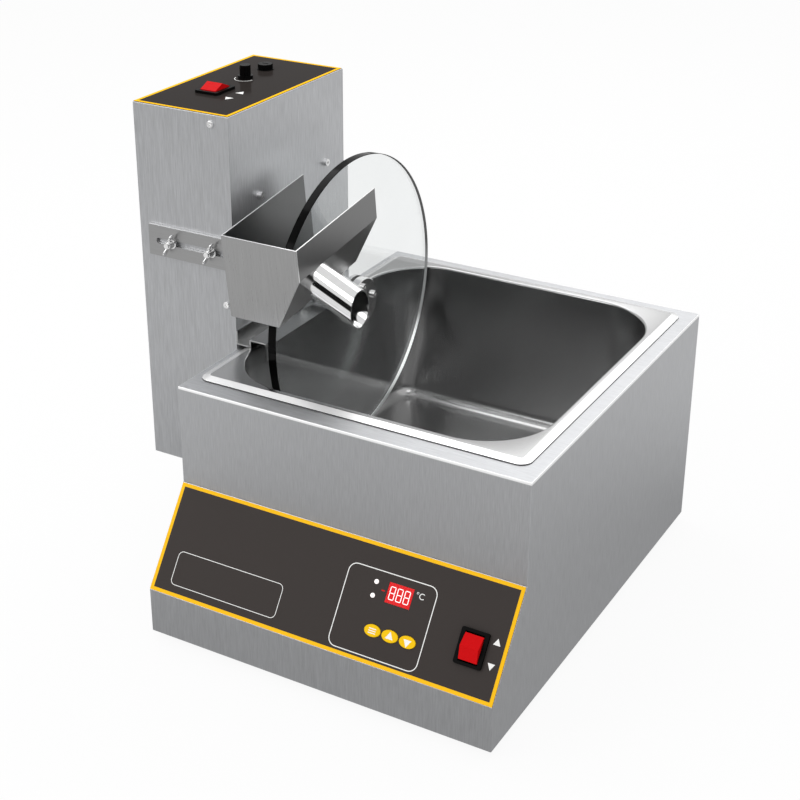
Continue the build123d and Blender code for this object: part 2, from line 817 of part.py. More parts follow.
# Pillars that hold the board behind the slope
with BuildPart() as board_pillars:
    with BuildSketch(console.offset(-board_standoff)):
        with Locations((controls_x, controls_up)):
            with GridLocations(board_width - 2 * pillar_inset, board_height - 2 * pillar_inset, 2, 2):
                Circle(pillar_radius)
    extrude(amount=board_standoff - casing_sheet)
board_pillars.part.label = "board_pillars"
export_step(board_pillars.part, "parts/board_pillars.step")

# Red window in front of the display block, flush with the overlay
with BuildPart() as display_window:
    with BuildSketch(console.offset(-casing_sheet)):
        with Locations((display_x, display_up)):
            Rectangle(display_width - 2 * panel_fit, display_height - 2 * panel_fit)
    extrude(amount=casing_sheet + overlay_thickness)
display_window.part.label = "display_window"
export_step(display_window.part, "parts/display_window.step")

# Status lamps standing on the board
with BuildPart() as status_lamps:
    with BuildSketch(console.offset(-board_standoff)):
        with Locations(*lamp_spots):
            Circle(lamp_radius)
    extrude(amount=board_standoff + overlay_thickness + lamp_stand)
    lamp_tops = status_lamps.faces().filter_by(console).group_by(Axis(console.origin, console.z_dir))[-1]
    fillet(lamp_tops.edges(), radius=lamp_stand / 2)
status_lamps.part.label = "status_lamps"
export_step(status_lamps.part, "parts/status_lamps.step")

# Oval console buttons, each held behind the sheet by a flange
for name, x in button_spots.items():
    with BuildPart() as button:
        with BuildSketch(console.offset(button_flange_top)):
            with Locations((x, button_up)):
                Ellipse(button_half_width + button_flange_side, button_half_height + button_flange_end)
        extrude(amount=-button_flange)
        with BuildSketch(console.offset(button_flange_top)):
            with Locations((x, button_up)):
                Ellipse(button_half_width, button_half_height)
        extrude(amount=overlay_thickness + button_stand - button_flange_top)
        top_face = button.faces().filter_by(console).sort_by(Axis(console.origin, console.z_dir))[-1]
        fillet(top_face.edges(), radius=button_edge)
    button.part.label = name
    export_step(button.part, f"parts/{name}.step")

# Rocker switches: a frame with a well, and a roof-shaped rocker on two pins
rocker_top = overlay_thickness + bezel_height + rocker_stand
rocker_half = rocker_length / 2
rocker_outline = [
    (-rocker_half, rocker_top),
    (0, rocker_top + rocker_ridge),
    (rocker_half, rocker_top),
    (rocker_half - rocker_skirt_inset, -rocker_skirt_depth),
    (rocker_foot_width / 2, -rocker_foot_depth),
    (-rocker_foot_width / 2, -rocker_foot_depth),
    (rocker_skirt_inset - rocker_half, -rocker_skirt_depth),
]
pin_half = rocker_width / 2 + rocker_pin_reach
for name, place in switch_places.items():
    rocker_section = Plane(origin=place.origin, x_dir=place.y_dir, z_dir=place.x_dir)
    with BuildPart() as switch_frame:
        with BuildSketch(place.offset(overlay_thickness)):
            RectangleRounded(bezel_width, bezel_length, bezel_corner)
        extrude(amount=bezel_height)
        with BuildSketch(place.offset(overlay_thickness)):
            Rectangle(switch_body_width, switch_body_length)
        extrude(amount=-(switch_body_depth + overlay_thickness))
        with BuildSketch(place.offset(overlay_thickness + bezel_height)):
            Rectangle(rocker_width + 2 * rocker_side_gap, rocker_length + 2 * rocker_end_gap)
        extrude(amount=-(rocker_well_depth + overlay_thickness + bezel_height), mode=Mode.SUBTRACT)
        with BuildSketch(rocker_section):
            with Locations((0, -rocker_pivot_depth)):
                Circle(rocker_pin_radius + running_fit)
        extrude(amount=pin_half + panel_fit, both=True, mode=Mode.SUBTRACT)
        with BuildSketch(place.offset(-switch_body_depth)):
            with GridLocations(0, terminal_pitch, 1, 2):
                Rectangle(blade_width, blade_sheet)
        extrude(amount=-blade_length)
    switch_frame.part.label = f"{name}_switch_frame"
    export_step(switch_frame.part, f"parts/{name}_switch_frame.step")
    with BuildPart() as rocker:
        with BuildSketch(rocker_section):
            with BuildLine():
                Polyline(*rocker_outline, close=True)
            make_face()
        extrude(amount=rocker_width / 2, both=True)
        with BuildSketch(rocker_section):
            with Locations((0, -rocker_pivot_depth)):
                Circle(rocker_pin_radius)
        extrude(amount=pin_half, both=True)
    rocker.part.label = f"{name}_rocker"
    export_step(rocker.part, f"parts/{name}_rocker.step")

# Appliance inlets with three blade pins, and their screws
inlet_screw = pan_head_screw(inlet_screw_radius, inlet_screw_length)
for name, place in inlet_places.items():
    with BuildPart() as inlet:
        with BuildSketch(place):
            RectangleRounded(inlet_flange_width, inlet_flange_height, inlet_flange_corner)
            with GridLocations(inlet_screw_pitch, 0, 2, 1):
                Circle(inlet_screw_radius + screw_fit, mode=Mode.SUBTRACT)
        extrude(amount=inlet_flange_sheet)
        with BuildSketch(place):
            Rectangle(inlet_body_width, inlet_body_height)
        extrude(amount=-inlet_body_depth)
        with BuildSketch(place.offset(inlet_flange_sheet)):
            RectangleRounded(inlet_socket_width, inlet_socket_height, inlet_corner)
        extrude(amount=-inlet_socket_depth, mode=Mode.SUBTRACT)
        with BuildSketch(place.offset(inlet_flange_sheet - inlet_socket_depth)):
            with Locations((0, -inlet_pin_rise)):
                with GridLocations(inlet_pin_pitch, 0, 2, 1):
                    Rectangle(inlet_pin_width, inlet_pin_height)
            with Locations((0, inlet_pin_rise)):
                Rectangle(inlet_pin_width, inlet_pin_height)
        extrude(amount=inlet_pin_length)
    inlet.part.label = f"{name}_inlet"
    export_step(inlet.part, f"parts/{name}_inlet.step")
    with BuildPart() as inlet_screws:
        screw_face = place.offset(inlet_flange_sheet)
        with Locations(*spots_on(screw_face, [(-inlet_screw_pitch / 2, 0), (inlet_screw_pitch / 2, 0)])):
            add(inlet_screw)
    inlet_screws.part.label = f"{name}_inlet_screws"
    export_step(inlet_screws.part, f"parts/{name}_inlet_screws.step")

# Tower cover: front, left, back and top in one folded sheet
with BuildPart() as tower_cover:
    with BuildSketch(Plane.XY.offset(tower_bottom)):
        with Locations((tower_x, tower_y)):
            Rectangle(tower_width, tower_depth)
    extrude(amount=tower_height)
    lid_edges = tower_cover.faces().sort_by(Axis.Z)[-1].edges()
    left_edges = tower_cover.edges().filter_by(Axis.Z).group_by(Axis.X)[0]
    fillet(lid_edges + left_edges, radius=bend_radius)
    with BuildSketch(Plane.XY.offset(tower_bottom)):
        with Locations((tower_x + tower_sheet / 2, tower_y)):
            Rectangle(tower_width - tower_sheet, tower_depth - 2 * tower_sheet)
    extrude(amount=tower_height - tower_sheet, mode=Mode.SUBTRACT)
    with BuildSketch(switch_places["tower"]):
        Rectangle(*switch_hole)
    extrude(amount=-tower_sheet, mode=Mode.SUBTRACT)
    with BuildSketch(tower_lid):
        with Locations((tower_controls_x, tower_front + knob_setback)):
            Circle(potentiometer_bush_radius)
        with Locations((fuse_x, tower_front + fuse_setback)):
            Circle(fuse_body_radius)
    extrude(amount=-tower_sheet, mode=Mode.SUBTRACT)
    with BuildSketch(tower_face):
        with Locations(*cover_screw_spots):
            Circle(cover_screw_radius + screw_fit)
        with Locations(*stud_spots):
            Circle(stud_radius)
    extrude(amount=-tower_sheet, mode=Mode.SUBTRACT)
    with BuildSketch(tower_rear):
        with Locations(*[(-x, z) for x, z in cover_screw_spots]):
            Circle(cover_screw_radius + screw_fit)
        with Locations((-tower_x, tower_bottom + tower_vent_height)):
            with GridLocations(0, tower_vent_pitch, 1, tower_vent_count):
                SlotOverall(tower_vent_length, tower_vent_width)
    extrude(amount=-tower_sheet, mode=Mode.SUBTRACT)
    with BuildSketch(inlet_places["tower"]):
        Rectangle(*inlet_hole)
        with GridLocations(inlet_screw_pitch, 0, 2, 1):
            Circle(inlet_screw_radius)
    extrude(amount=-tower_sheet, mode=Mode.SUBTRACT)
    tower_left_face = Plane(origin=(tower_left, 0, 0), x_dir=(0, -1, 0), z_dir=(-1, 0, 0))
    with BuildSketch(tower_left_face):
        with Locations(*tray_screw_spots):
            Circle(cover_screw_radius + screw_fit)
    extrude(amount=-tower_sheet, mode=Mode.SUBTRACT)
tower_cover.part.label = "tower_cover"
export_step(tower_cover.part, "parts/tower_cover.step")

# Side plate that closes the tower towards the melter, with a flange behind the front and the back
plate_depth = tower_depth - 2 * tower_sheet
plate_height = tower_height - tower_sheet
with BuildPart() as tower_side_plate:
    with BuildSketch(Plane.XY.offset(tower_bottom)):
        with Locations((tower_right - side_flange / 2, tower_y)):
            Rectangle(side_flange, plate_depth)
        with Locations((tower_right - (side_flange + tower_sheet) / 2, tower_y)):
            Rectangle(side_flange - tower_sheet, plate_depth - 2 * tower_sheet, mode=Mode.SUBTRACT)
    extrude(amount=plate_height)
    with BuildSketch(tower_side):
        with Locations((shaft_y, shaft_z)):
            Circle(bush_radius)
        with Locations(*upper_motor_spots):
            Circle(motor_screw_radius + screw_fit)
        with Locations(*lower_motor_spots):
            Circle(motor_screw_radius)
    extrude(amount=-tower_sheet, mode=Mode.SUBTRACT)
    with BuildSketch(tower_face.offset(-tower_sheet)):
        with Locations(*cover_screw_spots):
            Circle(cover_screw_radius)
    extrude(amount=-plate_depth, mode=Mode.SUBTRACT)
    with BuildSketch(tower_face.offset(-tower_sheet)):
        with Locations(*stud_spots):
            Circle(stud_head_radius + panel_fit)
    extrude(amount=-tower_sheet, mode=Mode.SUBTRACT)
tower_side_plate.part.label = "tower_side_plate"
export_step(tower_side_plate.part, "parts/tower_side_plate.step")

# Tray that closes the tower's underside
tray_width = tower_width - 2 * tower_sheet
tray_depth = plate_depth - 2 * tower_sheet
with BuildPart() as tower_base_tray:
    with BuildSketch(Plane.XY.offset(tower_bottom)):
        with Locations((tower_x, tower_y)):
            Rectangle(tray_width, tray_depth)
    extrude(amount=tray_lip)
    with BuildSketch(Plane.XY.offset(tower_bottom + tower_sheet)):
        with Locations((tower_x, tower_y)):
            Rectangle(tray_width - 2 * tower_sheet, tray_depth - 2 * tower_sheet)
    extrude(amount=tray_lip - tower_sheet, mode=Mode.SUBTRACT)
    with BuildSketch(tower_left_face.offset(-tower_sheet)):
        with Locations(*tray_screw_spots):
            Circle(cover_screw_radius)
    extrude(amount=-tower_sheet, mode=Mode.SUBTRACT)
tower_base_tray.part.label = "tower_base_tray"
export_step(tower_base_tray.part, "parts/tower_base_tray.step")

# Screws of the tower's cover: front, back and, into the tray, left
cover_screw = pan_head_screw(cover_screw_radius, cover_screw_length)
with BuildPart() as cover_screws:
    with Locations(*spots_on(tower_face, cover_screw_spots)):
        add(cover_screw)
    with Locations(*spots_on(tower_rear, [(-x, z) for x, z in cover_screw_spots])):
        add(cover_screw)
    with Locations(*spots_on(tower_left_face, tray_screw_spots)):
        add(cover_screw)
cover_screws.part.label = "cover_screws"
export_step(cover_screws.part, "parts/cover_screws.step")

# Printed overlay on the tower's top
with BuildPart() as tower_overlay:
    with BuildSketch(tower_lid):
        with Locations((tower_x, tower_y)):
            Rectangle(tower_width - 2 * bend_radius, tower_depth - 2 * bend_radius)
        with Locations((tower_controls_x, tower_front + tower_switch_setback)):
            Rectangle(*switch_hole, mode=Mode.SUBTRACT)
        with Locations((tower_controls_x, tower_front + knob_setback)):
            Circle(potentiometer_bush_radius, mode=Mode.SUBTRACT)
        with Locations((fuse_x, tower_front + fuse_setback)):
            Circle(fuse_body_radius, mode=Mode.SUBTRACT)
    extrude(amount=overlay_thickness)
tower_overlay.part.label = "tower_overlay"
export_step(tower_overlay.part, "parts/tower_overlay.step")

# Speed potentiometer under the tower's top
knob_plane = Plane(
    origin=(tower_controls_x, tower_front + knob_setback, tower_top), x_dir=(1, 0, 0), z_dir=(0, 0, 1)
)
with BuildPart() as potentiometer:
    with BuildSketch(knob_plane.offset(-tower_sheet)):
        Circle(potentiometer_radius)
    extrude(amount=-potentiometer_depth)
    with BuildSketch(knob_plane.offset(-tower_sheet)):
        Circle(potentiometer_bush_radius)
    extrude(amount=tower_sheet + overlay_thickness + potentiometer_bush_stand)
    with BuildSketch(knob_plane.offset(overlay_thickness + potentiometer_bush_stand)):
        Circle(knob_shaft_radius + running_fit)
    extrude(
        amount=-(overlay_thickness + potentiometer_bush_stand + tower_sheet + potentiometer_depth / 2),
        mode=Mode.SUBTRACT,
    )
potentiometer.part.label = "potentiometer"
export_step(potentiometer.part, "parts/potentiometer.step")

# Speed knob with the shaft that it turns
knob_foot = overlay_thickness + slide_gap
with BuildPart() as speed_knob:
    with BuildSketch(knob_plane.offset(knob_foot)):
        Circle(knob_skirt_radius)
    extrude(amount=knob_skirt_height)
    with BuildSketch(knob_plane.offset(knob_foot)):
        Circle(knob_radius)
        with PolarLocations(knob_radius, knob_flutes):
            Circle(knob_flute_radius, mode=Mode.SUBTRACT)
    extrude(amount=knob_height)
    with BuildSketch(knob_plane.offset(knob_foot)):
        Circle(knob_recess_radius)
    extrude(amount=knob_recess_height, mode=Mode.SUBTRACT)
    with BuildSketch(knob_plane.offset(knob_foot + knob_recess_height)):
        Circle(knob_shaft_radius)
    extrude(amount=-(knob_foot + knob_recess_height + tower_sheet + potentiometer_depth / 2 - slide_gap))
speed_knob.part.label = "speed_knob"
export_step(speed_knob.part, "parts/speed_knob.step")

# Fuse holder let into the tower's top, and its bayonet cap
fuse_plane = Plane(
    origin=(fuse_x, tower_front + fuse_setback, tower_top), x_dir=(1, 0, 0), z_dir=(0, 0, 1)
)
fuse_mouth = overlay_thickness + fuse_flange_height
fuse_bore_depth = fuse_mouth + fuse_body_depth - blade_length
with BuildPart() as fuse_holder:
    with BuildSketch(fuse_plane.offset(overlay_thickness)):
        Circle(fuse_flange_radius)
    extrude(amount=fuse_flange_height)
    with BuildSketch(fuse_plane.offset(overlay_thickness)):
        Circle(fuse_body_radius)
    extrude(amount=-(fuse_body_depth + overlay_thickness))
    with BuildSketch(fuse_plane.offset(fuse_mouth)):
        Circle(fuse_stem_radius + running_fit)
    extrude(amount=-fuse_bore_depth, mode=Mode.SUBTRACT)
fuse_holder.part.label = "fuse_holder"
export_step(fuse_holder.part, "parts/fuse_holder.step")

with BuildPart() as fuse_cap:
    with BuildSketch(fuse_plane.offset(fuse_mouth + slide_gap)):
        Circle(fuse_cap_radius)
        with PolarLocations(fuse_cap_radius, fuse_cap_flutes):
            Circle(fuse_cap_flute_radius, mode=Mode.SUBTRACT)
    extrude(amount=fuse_cap_height)
    with BuildSketch(fuse_plane.offset(fuse_mouth + slide_gap + fuse_cap_height)):
        Rectangle(2 * fuse_stem_radius, fuse_slot_width)
    extrude(amount=-fuse_slot_depth, mode=Mode.SUBTRACT)
    with BuildSketch(fuse_plane.offset(fuse_mouth + slide_gap)):
        Circle(fuse_stem_radius)
    extrude(amount=-fuse_stem_length)
fuse_cap.part.label = "fuse_cap"
export_step(fuse_cap.part, "parts/fuse_cap.step")

# Motor plate bolted inside the side plate
plate_face = tower_side.offset(-tower_sheet)
motor_face = plate_face.offset(-motor_plate_sheet)
with BuildPart() as motor_plate:
    with BuildSketch(plate_face):
        with Locations((motor_y, shaft_z)):
            Rectangle(
                motor_screw_pitch_y + 2 * motor_plate_margin, 2 * (motor_screw_rise + motor_plate_margin)
            )
        with Locations((shaft_y, shaft_z)):
            Circle(bush_radius, mode=Mode.SUBTRACT)
        with Locations(*upper_motor_spots):
            Circle(motor_screw_radius, mode=Mode.SUBTRACT)
        with Locations(*lower_motor_spots):
            Circle(motor_screw_radius + screw_fit, mode=Mode.SUBTRACT)
    extrude(amount=-motor_plate_sheet)
motor_plate.part.label = "motor_plate"
export_step(motor_plate.part, "parts/motor_plate.step")

# Motor screws: the upper pair goes in from the side, the lower pair from inside, flush with the side plate
upper_motor_screw = socket_screw(
    motor_head_radius,
    motor_head_height,
    motor_head_socket,
    motor_screw_radius,
    tower_sheet + motor_plate_sheet + motor_screw_tail,
)
lower_motor_screw = socket_screw(
    motor_head_radius, motor_head_height, motor_head_socket, motor_screw_radius, tower_sheet + motor_plate_sheet
)
motor_inside = Plane(origin=motor_face.origin, x_dir=(0, -1, 0), z_dir=(-1, 0, 0))
with BuildPart() as motor_screws:
    with Locations(*spots_on(tower_side, upper_motor_spots)):
        add(upper_motor_screw)
    with Locations(*spots_on(motor_inside, [(-y, z) for y, z in lower_motor_spots])):
        add(lower_motor_screw)
motor_screws.part.label = "motor_screws"
export_step(motor_screws.part, "parts/motor_screws.step")

# Gear motor: square gearbox and round motor can in one sealed unit
with BuildPart() as gear_motor:
    with BuildSketch(motor_face):
        with Locations((shaft_y, shaft_z)):
            RectangleRounded(gearbox_size, gearbox_size, gearbox_corner)
    extrude(amount=-gearbox_depth)
    with BuildSketch(motor_face.offset(-gearbox_depth)):
        with Locations((shaft_y, shaft_z)):
            Circle(motor_can_radius)
    extrude(amount=-motor_can_length)
    with BuildSketch(motor_face):
        with Locations((shaft_y, shaft_z)):
            Circle(shaft_radius + running_fit)
    extrude(amount=-(shaft_engagement + slide_gap), mode=Mode.SUBTRACT)
gear_motor.part.label = "gear_motor"
export_step(gear_motor.part, "parts/gear_motor.step")

# Flanged bush where the shaft leaves the tower
with BuildPart() as shaft_bush:
    with BuildSketch(tower_side):
        with Locations((shaft_y, shaft_z)):
            Circle(bush_flange_radius)
    extrude(amount=bush_flange_sheet)
    with BuildSketch(tower_side):
        with Locations((shaft_y, shaft_z)):
            Circle(bush_radius)
    extrude(amount=-(tower_sheet + motor_plate_sheet))
    with BuildSketch(tower_side.offset(bush_flange_sheet)):
        with Locations((shaft_y, shaft_z)):
            Circle(shaft_radius + running_fit)
    extrude(amount=-(bush_flange_sheet + tower_sheet + motor_plate_sheet), mode=Mode.SUBTRACT)
shaft_bush.part.label = "shaft_bush"
export_step(shaft_bush.part, "parts/shaft_bush.step")

# Mixing wheel: shaft, rear flange, clear disc, front flange and screws
shaft_start = tower_right - tower_sheet - motor_plate_sheet - shaft_engagement
shaft_end = disc_right + front_flange_sheet - front_flange_cover
hub_angles = [radians(hub_screw_turn + 360 * step / hub_screw_count) for step in range(hub_screw_count)]
hub_spots = [(shaft_y + hub_screw_circle * cos(a), shaft_z + hub_screw_circle * sin(a)) for a in hub_angles]
with BuildPart() as drive_shaft:
    with BuildSketch(Plane.YZ.offset(shaft_start)):
        with Locations((shaft_y, shaft_z)):
            Circle(shaft_radius)
    extrude(amount=shaft_end - shaft_start)
drive_shaft.part.label = "drive_shaft"
export_step(drive_shaft.part, "parts/drive_shaft.step")

with BuildPart() as rear_flange:
    with BuildSketch(Plane.YZ.offset(disc_left)):
        with Locations((shaft_y, shaft_z)):
            Circle(rear_flange_radius)
    extrude(amount=-rear_flange_sheet)
    with BuildSketch(Plane.YZ.offset(disc_left - rear_flange_sheet)):
        with Locations((shaft_y, shaft_z)):
            Circle(rear_boss_radius)
    extrude(amount=-rear_boss_length)
    with BuildSketch(Plane.YZ.offset(disc_left)):
        with Locations((shaft_y, shaft_z)):
            Circle(shaft_radius)
        with Locations(*hub_spots):
            Circle(hub_screw_radius)
    extrude(amount=-(rear_flange_sheet + rear_boss_length), mode=Mode.SUBTRACT)
rear_flange.part.label = "rear_flange"
export_step(rear_flange.part, "parts/rear_flange.step")

with BuildPart() as mixing_disc:
    with BuildSketch(Plane.YZ.offset(disc_left)):
        with Locations((shaft_y, shaft_z)):
            Circle(disc_radius)
            Circle(shaft_radius, mode=Mode.SUBTRACT)
        with Locations(*hub_spots):
            Circle(hub_screw_radius + screw_fit, mode=Mode.SUBTRACT)
    extrude(amount=disc_thickness)
    chamfer(mixing_disc.edges().filter_by(GeomType.CIRCLE).group_by(SortBy.RADIUS)[-1], length=disc_edge)
mixing_disc.part.label = "mixing_disc"
export_step(mixing_disc.part, "parts/mixing_disc.step")

with BuildPart() as front_flange:
    with BuildSketch(Plane.YZ.offset(disc_right)):
        with Locations((shaft_y, shaft_z)):
            Circle(front_flange_radius)
        with Locations(*hub_spots):
            Circle(hub_screw_radius + screw_fit, mode=Mode.SUBTRACT)
    extrude(amount=front_flange_sheet)
    with BuildSketch(Plane.YZ.offset(disc_right)):
        with Locations((shaft_y, shaft_z)):
            Circle(shaft_radius)
    extrude(amount=front_flange_sheet - front_flange_cover, mode=Mode.SUBTRACT)
    chamfer(front_flange.faces().sort_by(Axis.X)[-1].outer_wire().edges(), length=flange_edge)
front_flange.part.label = "front_flange"
export_step(front_flange.part, "parts/front_flange.step")

hub_screw = socket_screw(
    hub_head_radius,
    hub_head_height,
    hub_head_socket,
    hub_screw_radius,
    front_flange_sheet + disc_thickness + rear_flange_sheet,
)
with BuildPart() as hub_screws:
    hub_face = Plane(origin=(disc_right + front_flange_sheet, 0, 0), x_dir=(0, 1, 0), z_dir=(1, 0, 0))
    with Locations(*spots_on(hub_face, hub_spots)):
        add(hub_screw)
hub_screws.part.label = "hub_screws"
export_step(hub_screws.part, "parts/hub_screws.step")

# Speed board on pillars inside the tower's left wall
inner_left = Plane(
    origin=(tower_left + tower_sheet, tower_y, tower_top - speed_board_drop), x_dir=(0, 1, 0), z_dir=(1, 0, 0)
)
with BuildPart() as speed_board_pillars:
    with BuildSketch(inner_left):
        with GridLocations(speed_board_width - 2 * pillar_inset, speed_board_height - 2 * pillar_inset, 2, 2):
            Circle(pillar_radius)
    extrude(amount=speed_pillar_length)
speed_board_pillars.part.label = "speed_board_pillars"
export_step(speed_board_pillars.part, "parts/speed_board_pillars.step")

with BuildPart() as speed_board:
    with BuildSketch(inner_left.offset(speed_pillar_length)):
        Rectangle(speed_board_width, speed_board_height)
    extrude(amount=board_sheet)
    with BuildSketch(inner_left.offset(speed_pillar_length + board_sheet)):
        with Locations((-heat_sink_width / 2, 0)):
            Rectangle(heat_sink_width, heat_sink_height)
    extrude(amount=heat_sink_depth)
    with BuildSketch(inner_left.offset(speed_pillar_length + board_sheet)):
        with Locations((2 * capacitor_radius, 0)):
            Circle(capacitor_radius)
    extrude(amount=capacitor_length)
speed_board.part.label = "speed_board"
export_step(speed_board.part, "parts/speed_board.step")

# Saddle: upstand on the tower, ledge over the rim, riser, shelf and a leg inside the pan
ledge_under = rim_top + slide_gap
riser_x = left + deck_left + rim_bevel + saddle_riser
leg_x = opening_left + saddle_shelf
shelf_under = ledge_under + saddle_rise
with BuildPart() as hanger_saddle:
    with BuildSketch(tower_face):
        with Locations((tower_right, ledge_under)):
            Rectangle(saddle_sheet, saddle_upstand, align=(Align.MIN, Align.MIN))
            Rectangle(riser_x - tower_right, saddle_sheet, align=(Align.MIN, Align.MIN))
        with Locations((riser_x, ledge_under)):
            Rectangle(saddle_sheet, saddle_rise + saddle_sheet, align=(Align.MAX, Align.MIN))
        with Locations((leg_x + saddle_sheet, shelf_under + saddle_sheet)):
            Rectangle(leg_x - riser_x + 2 * saddle_sheet, saddle_sheet, align=(Align.MAX, Align.MAX))
            Rectangle(saddle_sheet, saddle_leg, align=(Align.MAX, Align.MAX))
    extrude(amount=-saddle_length)
    with BuildSketch(tower_side):
        with Locations((shaft_y, ledge_under + saddle_sheet)):
            Rectangle(saddle_notch, saddle_upstand, align=(Align.CENTER, Align.MIN))
    extrude(amount=saddle_sheet, mode=Mode.SUBTRACT)
hanger_saddle.part.label = "hanger_saddle"
export_step(hanger_saddle.part, "parts/hanger_saddle.step")

# Rubber buffers low on the tower, just short of the casing
with BuildPart() as tower_buffers:
    with BuildSketch(tower_side):
        with Locations((tower_y, tower_bottom + buffer_height)):
            with GridLocations(buffer_pitch, 0, 2, 1):
                Circle(buffer_radius)
    extrude(amount=tower_gap - slide_gap)
tower_buffers.part.label = "tower_buffers"
export_step(tower_buffers.part, "parts/tower_buffers.step")

# Studs on the tower's front that carry the slotted arm
with BuildPart() as clamp_studs:
    with BuildSketch(tower_face):
        with Locations(*stud_spots):
            Circle(stud_radius)
    extrude(amount=stud_length)
    with BuildSketch(tower_face):
        with Locations(*stud_spots):
            Circle(stud_radius)
    extrude(amount=-tower_sheet)
    with BuildSketch(tower_face.offset(-tower_sheet)):
        with Locations(*stud_spots):
            Circle(stud_head_radius)
    extrude(amount=-stud_head_height)
clamp_studs.part.label = "clamp_studs"
export_step(clamp_studs.part, "parts/clamp_studs.step")

# Wing nuts on the studs
nut_foot = slide_gap + arm_sheet + slide_gap
wing_way = (cos(radians(wing_angle)), 0, sin(radians(wing_angle)))
for name, (x, z) in zip(("left_wing_nut", "right_wing_nut"), stud_spots):
    nut_plane = Plane(origin=(x, tower_front - nut_foot, z), x_dir=wing_way, z_dir=(0, -1, 0))
    wing_plane = Plane(origin=nut_plane.origin, x_dir=nut_plane.x_dir, z_dir=-nut_plane.y_dir)
    with BuildPart() as wing_nut:
        with BuildSketch(nut_plane):
            Circle(nut_flange_radius)
        extrude(amount=nut_flange_sheet)
        with BuildSketch(nut_plane):
            Circle(nut_hub_radius)
        extrude(amount=nut_hub_height, taper=nut_hub_taper)
        for side in (-1, 1):
            with BuildSketch(wing_plane):
                with Locations((side * wing_reach, wing_rise)):
                    Circle(wing_tip_radius)
                with Locations((side * wing_root_reach, wing_root_rise)):
                    Circle(wing_root_radius)
                make_hull()
            extrude(amount=wing_sheet / 2, both=True)
        with BuildSketch(nut_plane):
            Circle(stud_radius + running_fit)
        extrude(amount=stud_length, mode=Mode.SUBTRACT)
    wing_nut.part.label = name
    export_step(wing_nut.part, f"parts/{name}.step")

# Slotted arm, welded to the chute's left wall
arm_left = tower_left + arm_start
arm_length = chute_left - arm_left
with BuildPart() as chute_arm:
    with BuildSketch(tower_face.offset(slide_gap)):
        with Locations((arm_left, arm_z)):
            Rectangle(arm_length, arm_height, align=(Align.MIN, Align.CENTER))
        with Locations((arm_left + slot_start, arm_z)):
            SlotOverall(
                slot_length,
                2 * (stud_radius + slot_fit),
                align=(Align.MIN, Align.CENTER),
                mode=Mode.SUBTRACT,
            )
    extrude(amount=arm_sheet)
chute_arm.part.label = "chute_arm"
export_step(chute_arm.part, "parts/chute_arm.step")

# Chute: front plate, left wall and bent right wall, tilted with the back end higher
with BuildPart() as chute_front:
    with BuildSketch(chute_mouth):
        with BuildLine():
            Polyline(
                (0, 0),
                (chute_width, 0),
                (chute_width, -chute_side),
                (chute_foot, -chute_depth),
                (0, -chute_depth),
                close=True,
            )
        make_face()
    extrude(amount=chute_sheet)
chute_front.part.label = "chute_front"
export_step(chute_front.part, "parts/chute_front.step")

with BuildPart() as chute_left_wall:
    with BuildSketch(chute_mouth):
        Rectangle(chute_sheet, chute_depth, align=(Align.MIN, Align.MAX))
    extrude(amount=-chute_length)
chute_left_wall.part.label = "chute_left_wall"
export_step(chute_left_wall.part, "parts/chute_left_wall.step")

# The sloped part of the right wall, and the spout's plane on its outer face
slope_drop = chute_depth - chute_side
slope_span = hypot(chute_flare, slope_drop)
slope_way = (-chute_flare / slope_span, -slope_drop / slope_span)
spout_down = spout_radius + spout_fold_gap
spout_spot = chute_mouth.from_local_coords(
    (chute_width + spout_down * slope_way[0], -chute_side + spout_down * slope_way[1], -spout_setback)
)
spout_axis = chute_mouth.x_dir * -slope_way[1] + chute_mouth.y_dir * slope_way[0]
spout_plane = Plane(origin=spout_spot, x_dir=-chute_mouth.z_dir, z_dir=spout_axis)
with BuildPart() as chute_right_wall:
    with BuildSketch(chute_mouth):
        with BuildLine():
            Polyline((chute_width, 0), (chute_width, -chute_side), (chute_foot, -chute_depth))
            offset(amount=chute_sheet, side=Side.RIGHT, kind=Kind.INTERSECTION)
        make_face()
    extrude(amount=-chute_length)
    with BuildSketch(spout_plane):
        Circle(spout_radius - spout_sheet)
    extrude(amount=-chute_sheet, mode=Mode.SUBTRACT)
chute_right_wall.part.label = "chute_right_wall"
export_step(chute_right_wall.part, "parts/chute_right_wall.step")

# Round spout on the sloped wall, cut upright at its mouth
spout_end = chute_left + chute_width + spout_reach
with BuildPart() as chute_spout:
    with BuildSketch(spout_plane):
        Circle(spout_radius)
        Circle(spout_radius - spout_sheet, mode=Mode.SUBTRACT)
    extrude(amount=2 * (spout_reach + spout_radius + slope_span))
    split(bisect_by=Plane.YZ.offset(spout_end), keep=Keep.BOTTOM)
chute_spout.part.label = "chute_spout"
export_step(chute_spout.part, "parts/chute_spout.step")

# Scraper strip inside the right wall's foot, just off the disc
wall_lean = chute_flare / slope_drop
wall_inset = chute_sheet * hypot(1, wall_lean)
scraper_low = scraper_lift - chute_depth
scraper_high = scraper_low + scraper_height
scraper_edge = chute_behind + disc_thickness + scraper_gap
with BuildPart() as chute_scraper:
    with BuildSketch(chute_mouth):
        with BuildLine():
            Polyline(
                (scraper_edge, scraper_low),
                (chute_foot + scraper_lift * wall_lean - wall_inset, scraper_low),
                (chute_foot + (scraper_lift + scraper_height) * wall_lean - wall_inset, scraper_high),
                (scraper_edge + scraper_tip, scraper_high),
                close=True,
            )
        make_face()
    extrude(amount=-chute_length)
chute_scraper.part.label = "chute_scraper"
export_step(chute_scraper.part, "parts/chute_scraper.step")
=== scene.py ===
import math

import bmesh
import bpy
from mathutils import Matrix, Vector


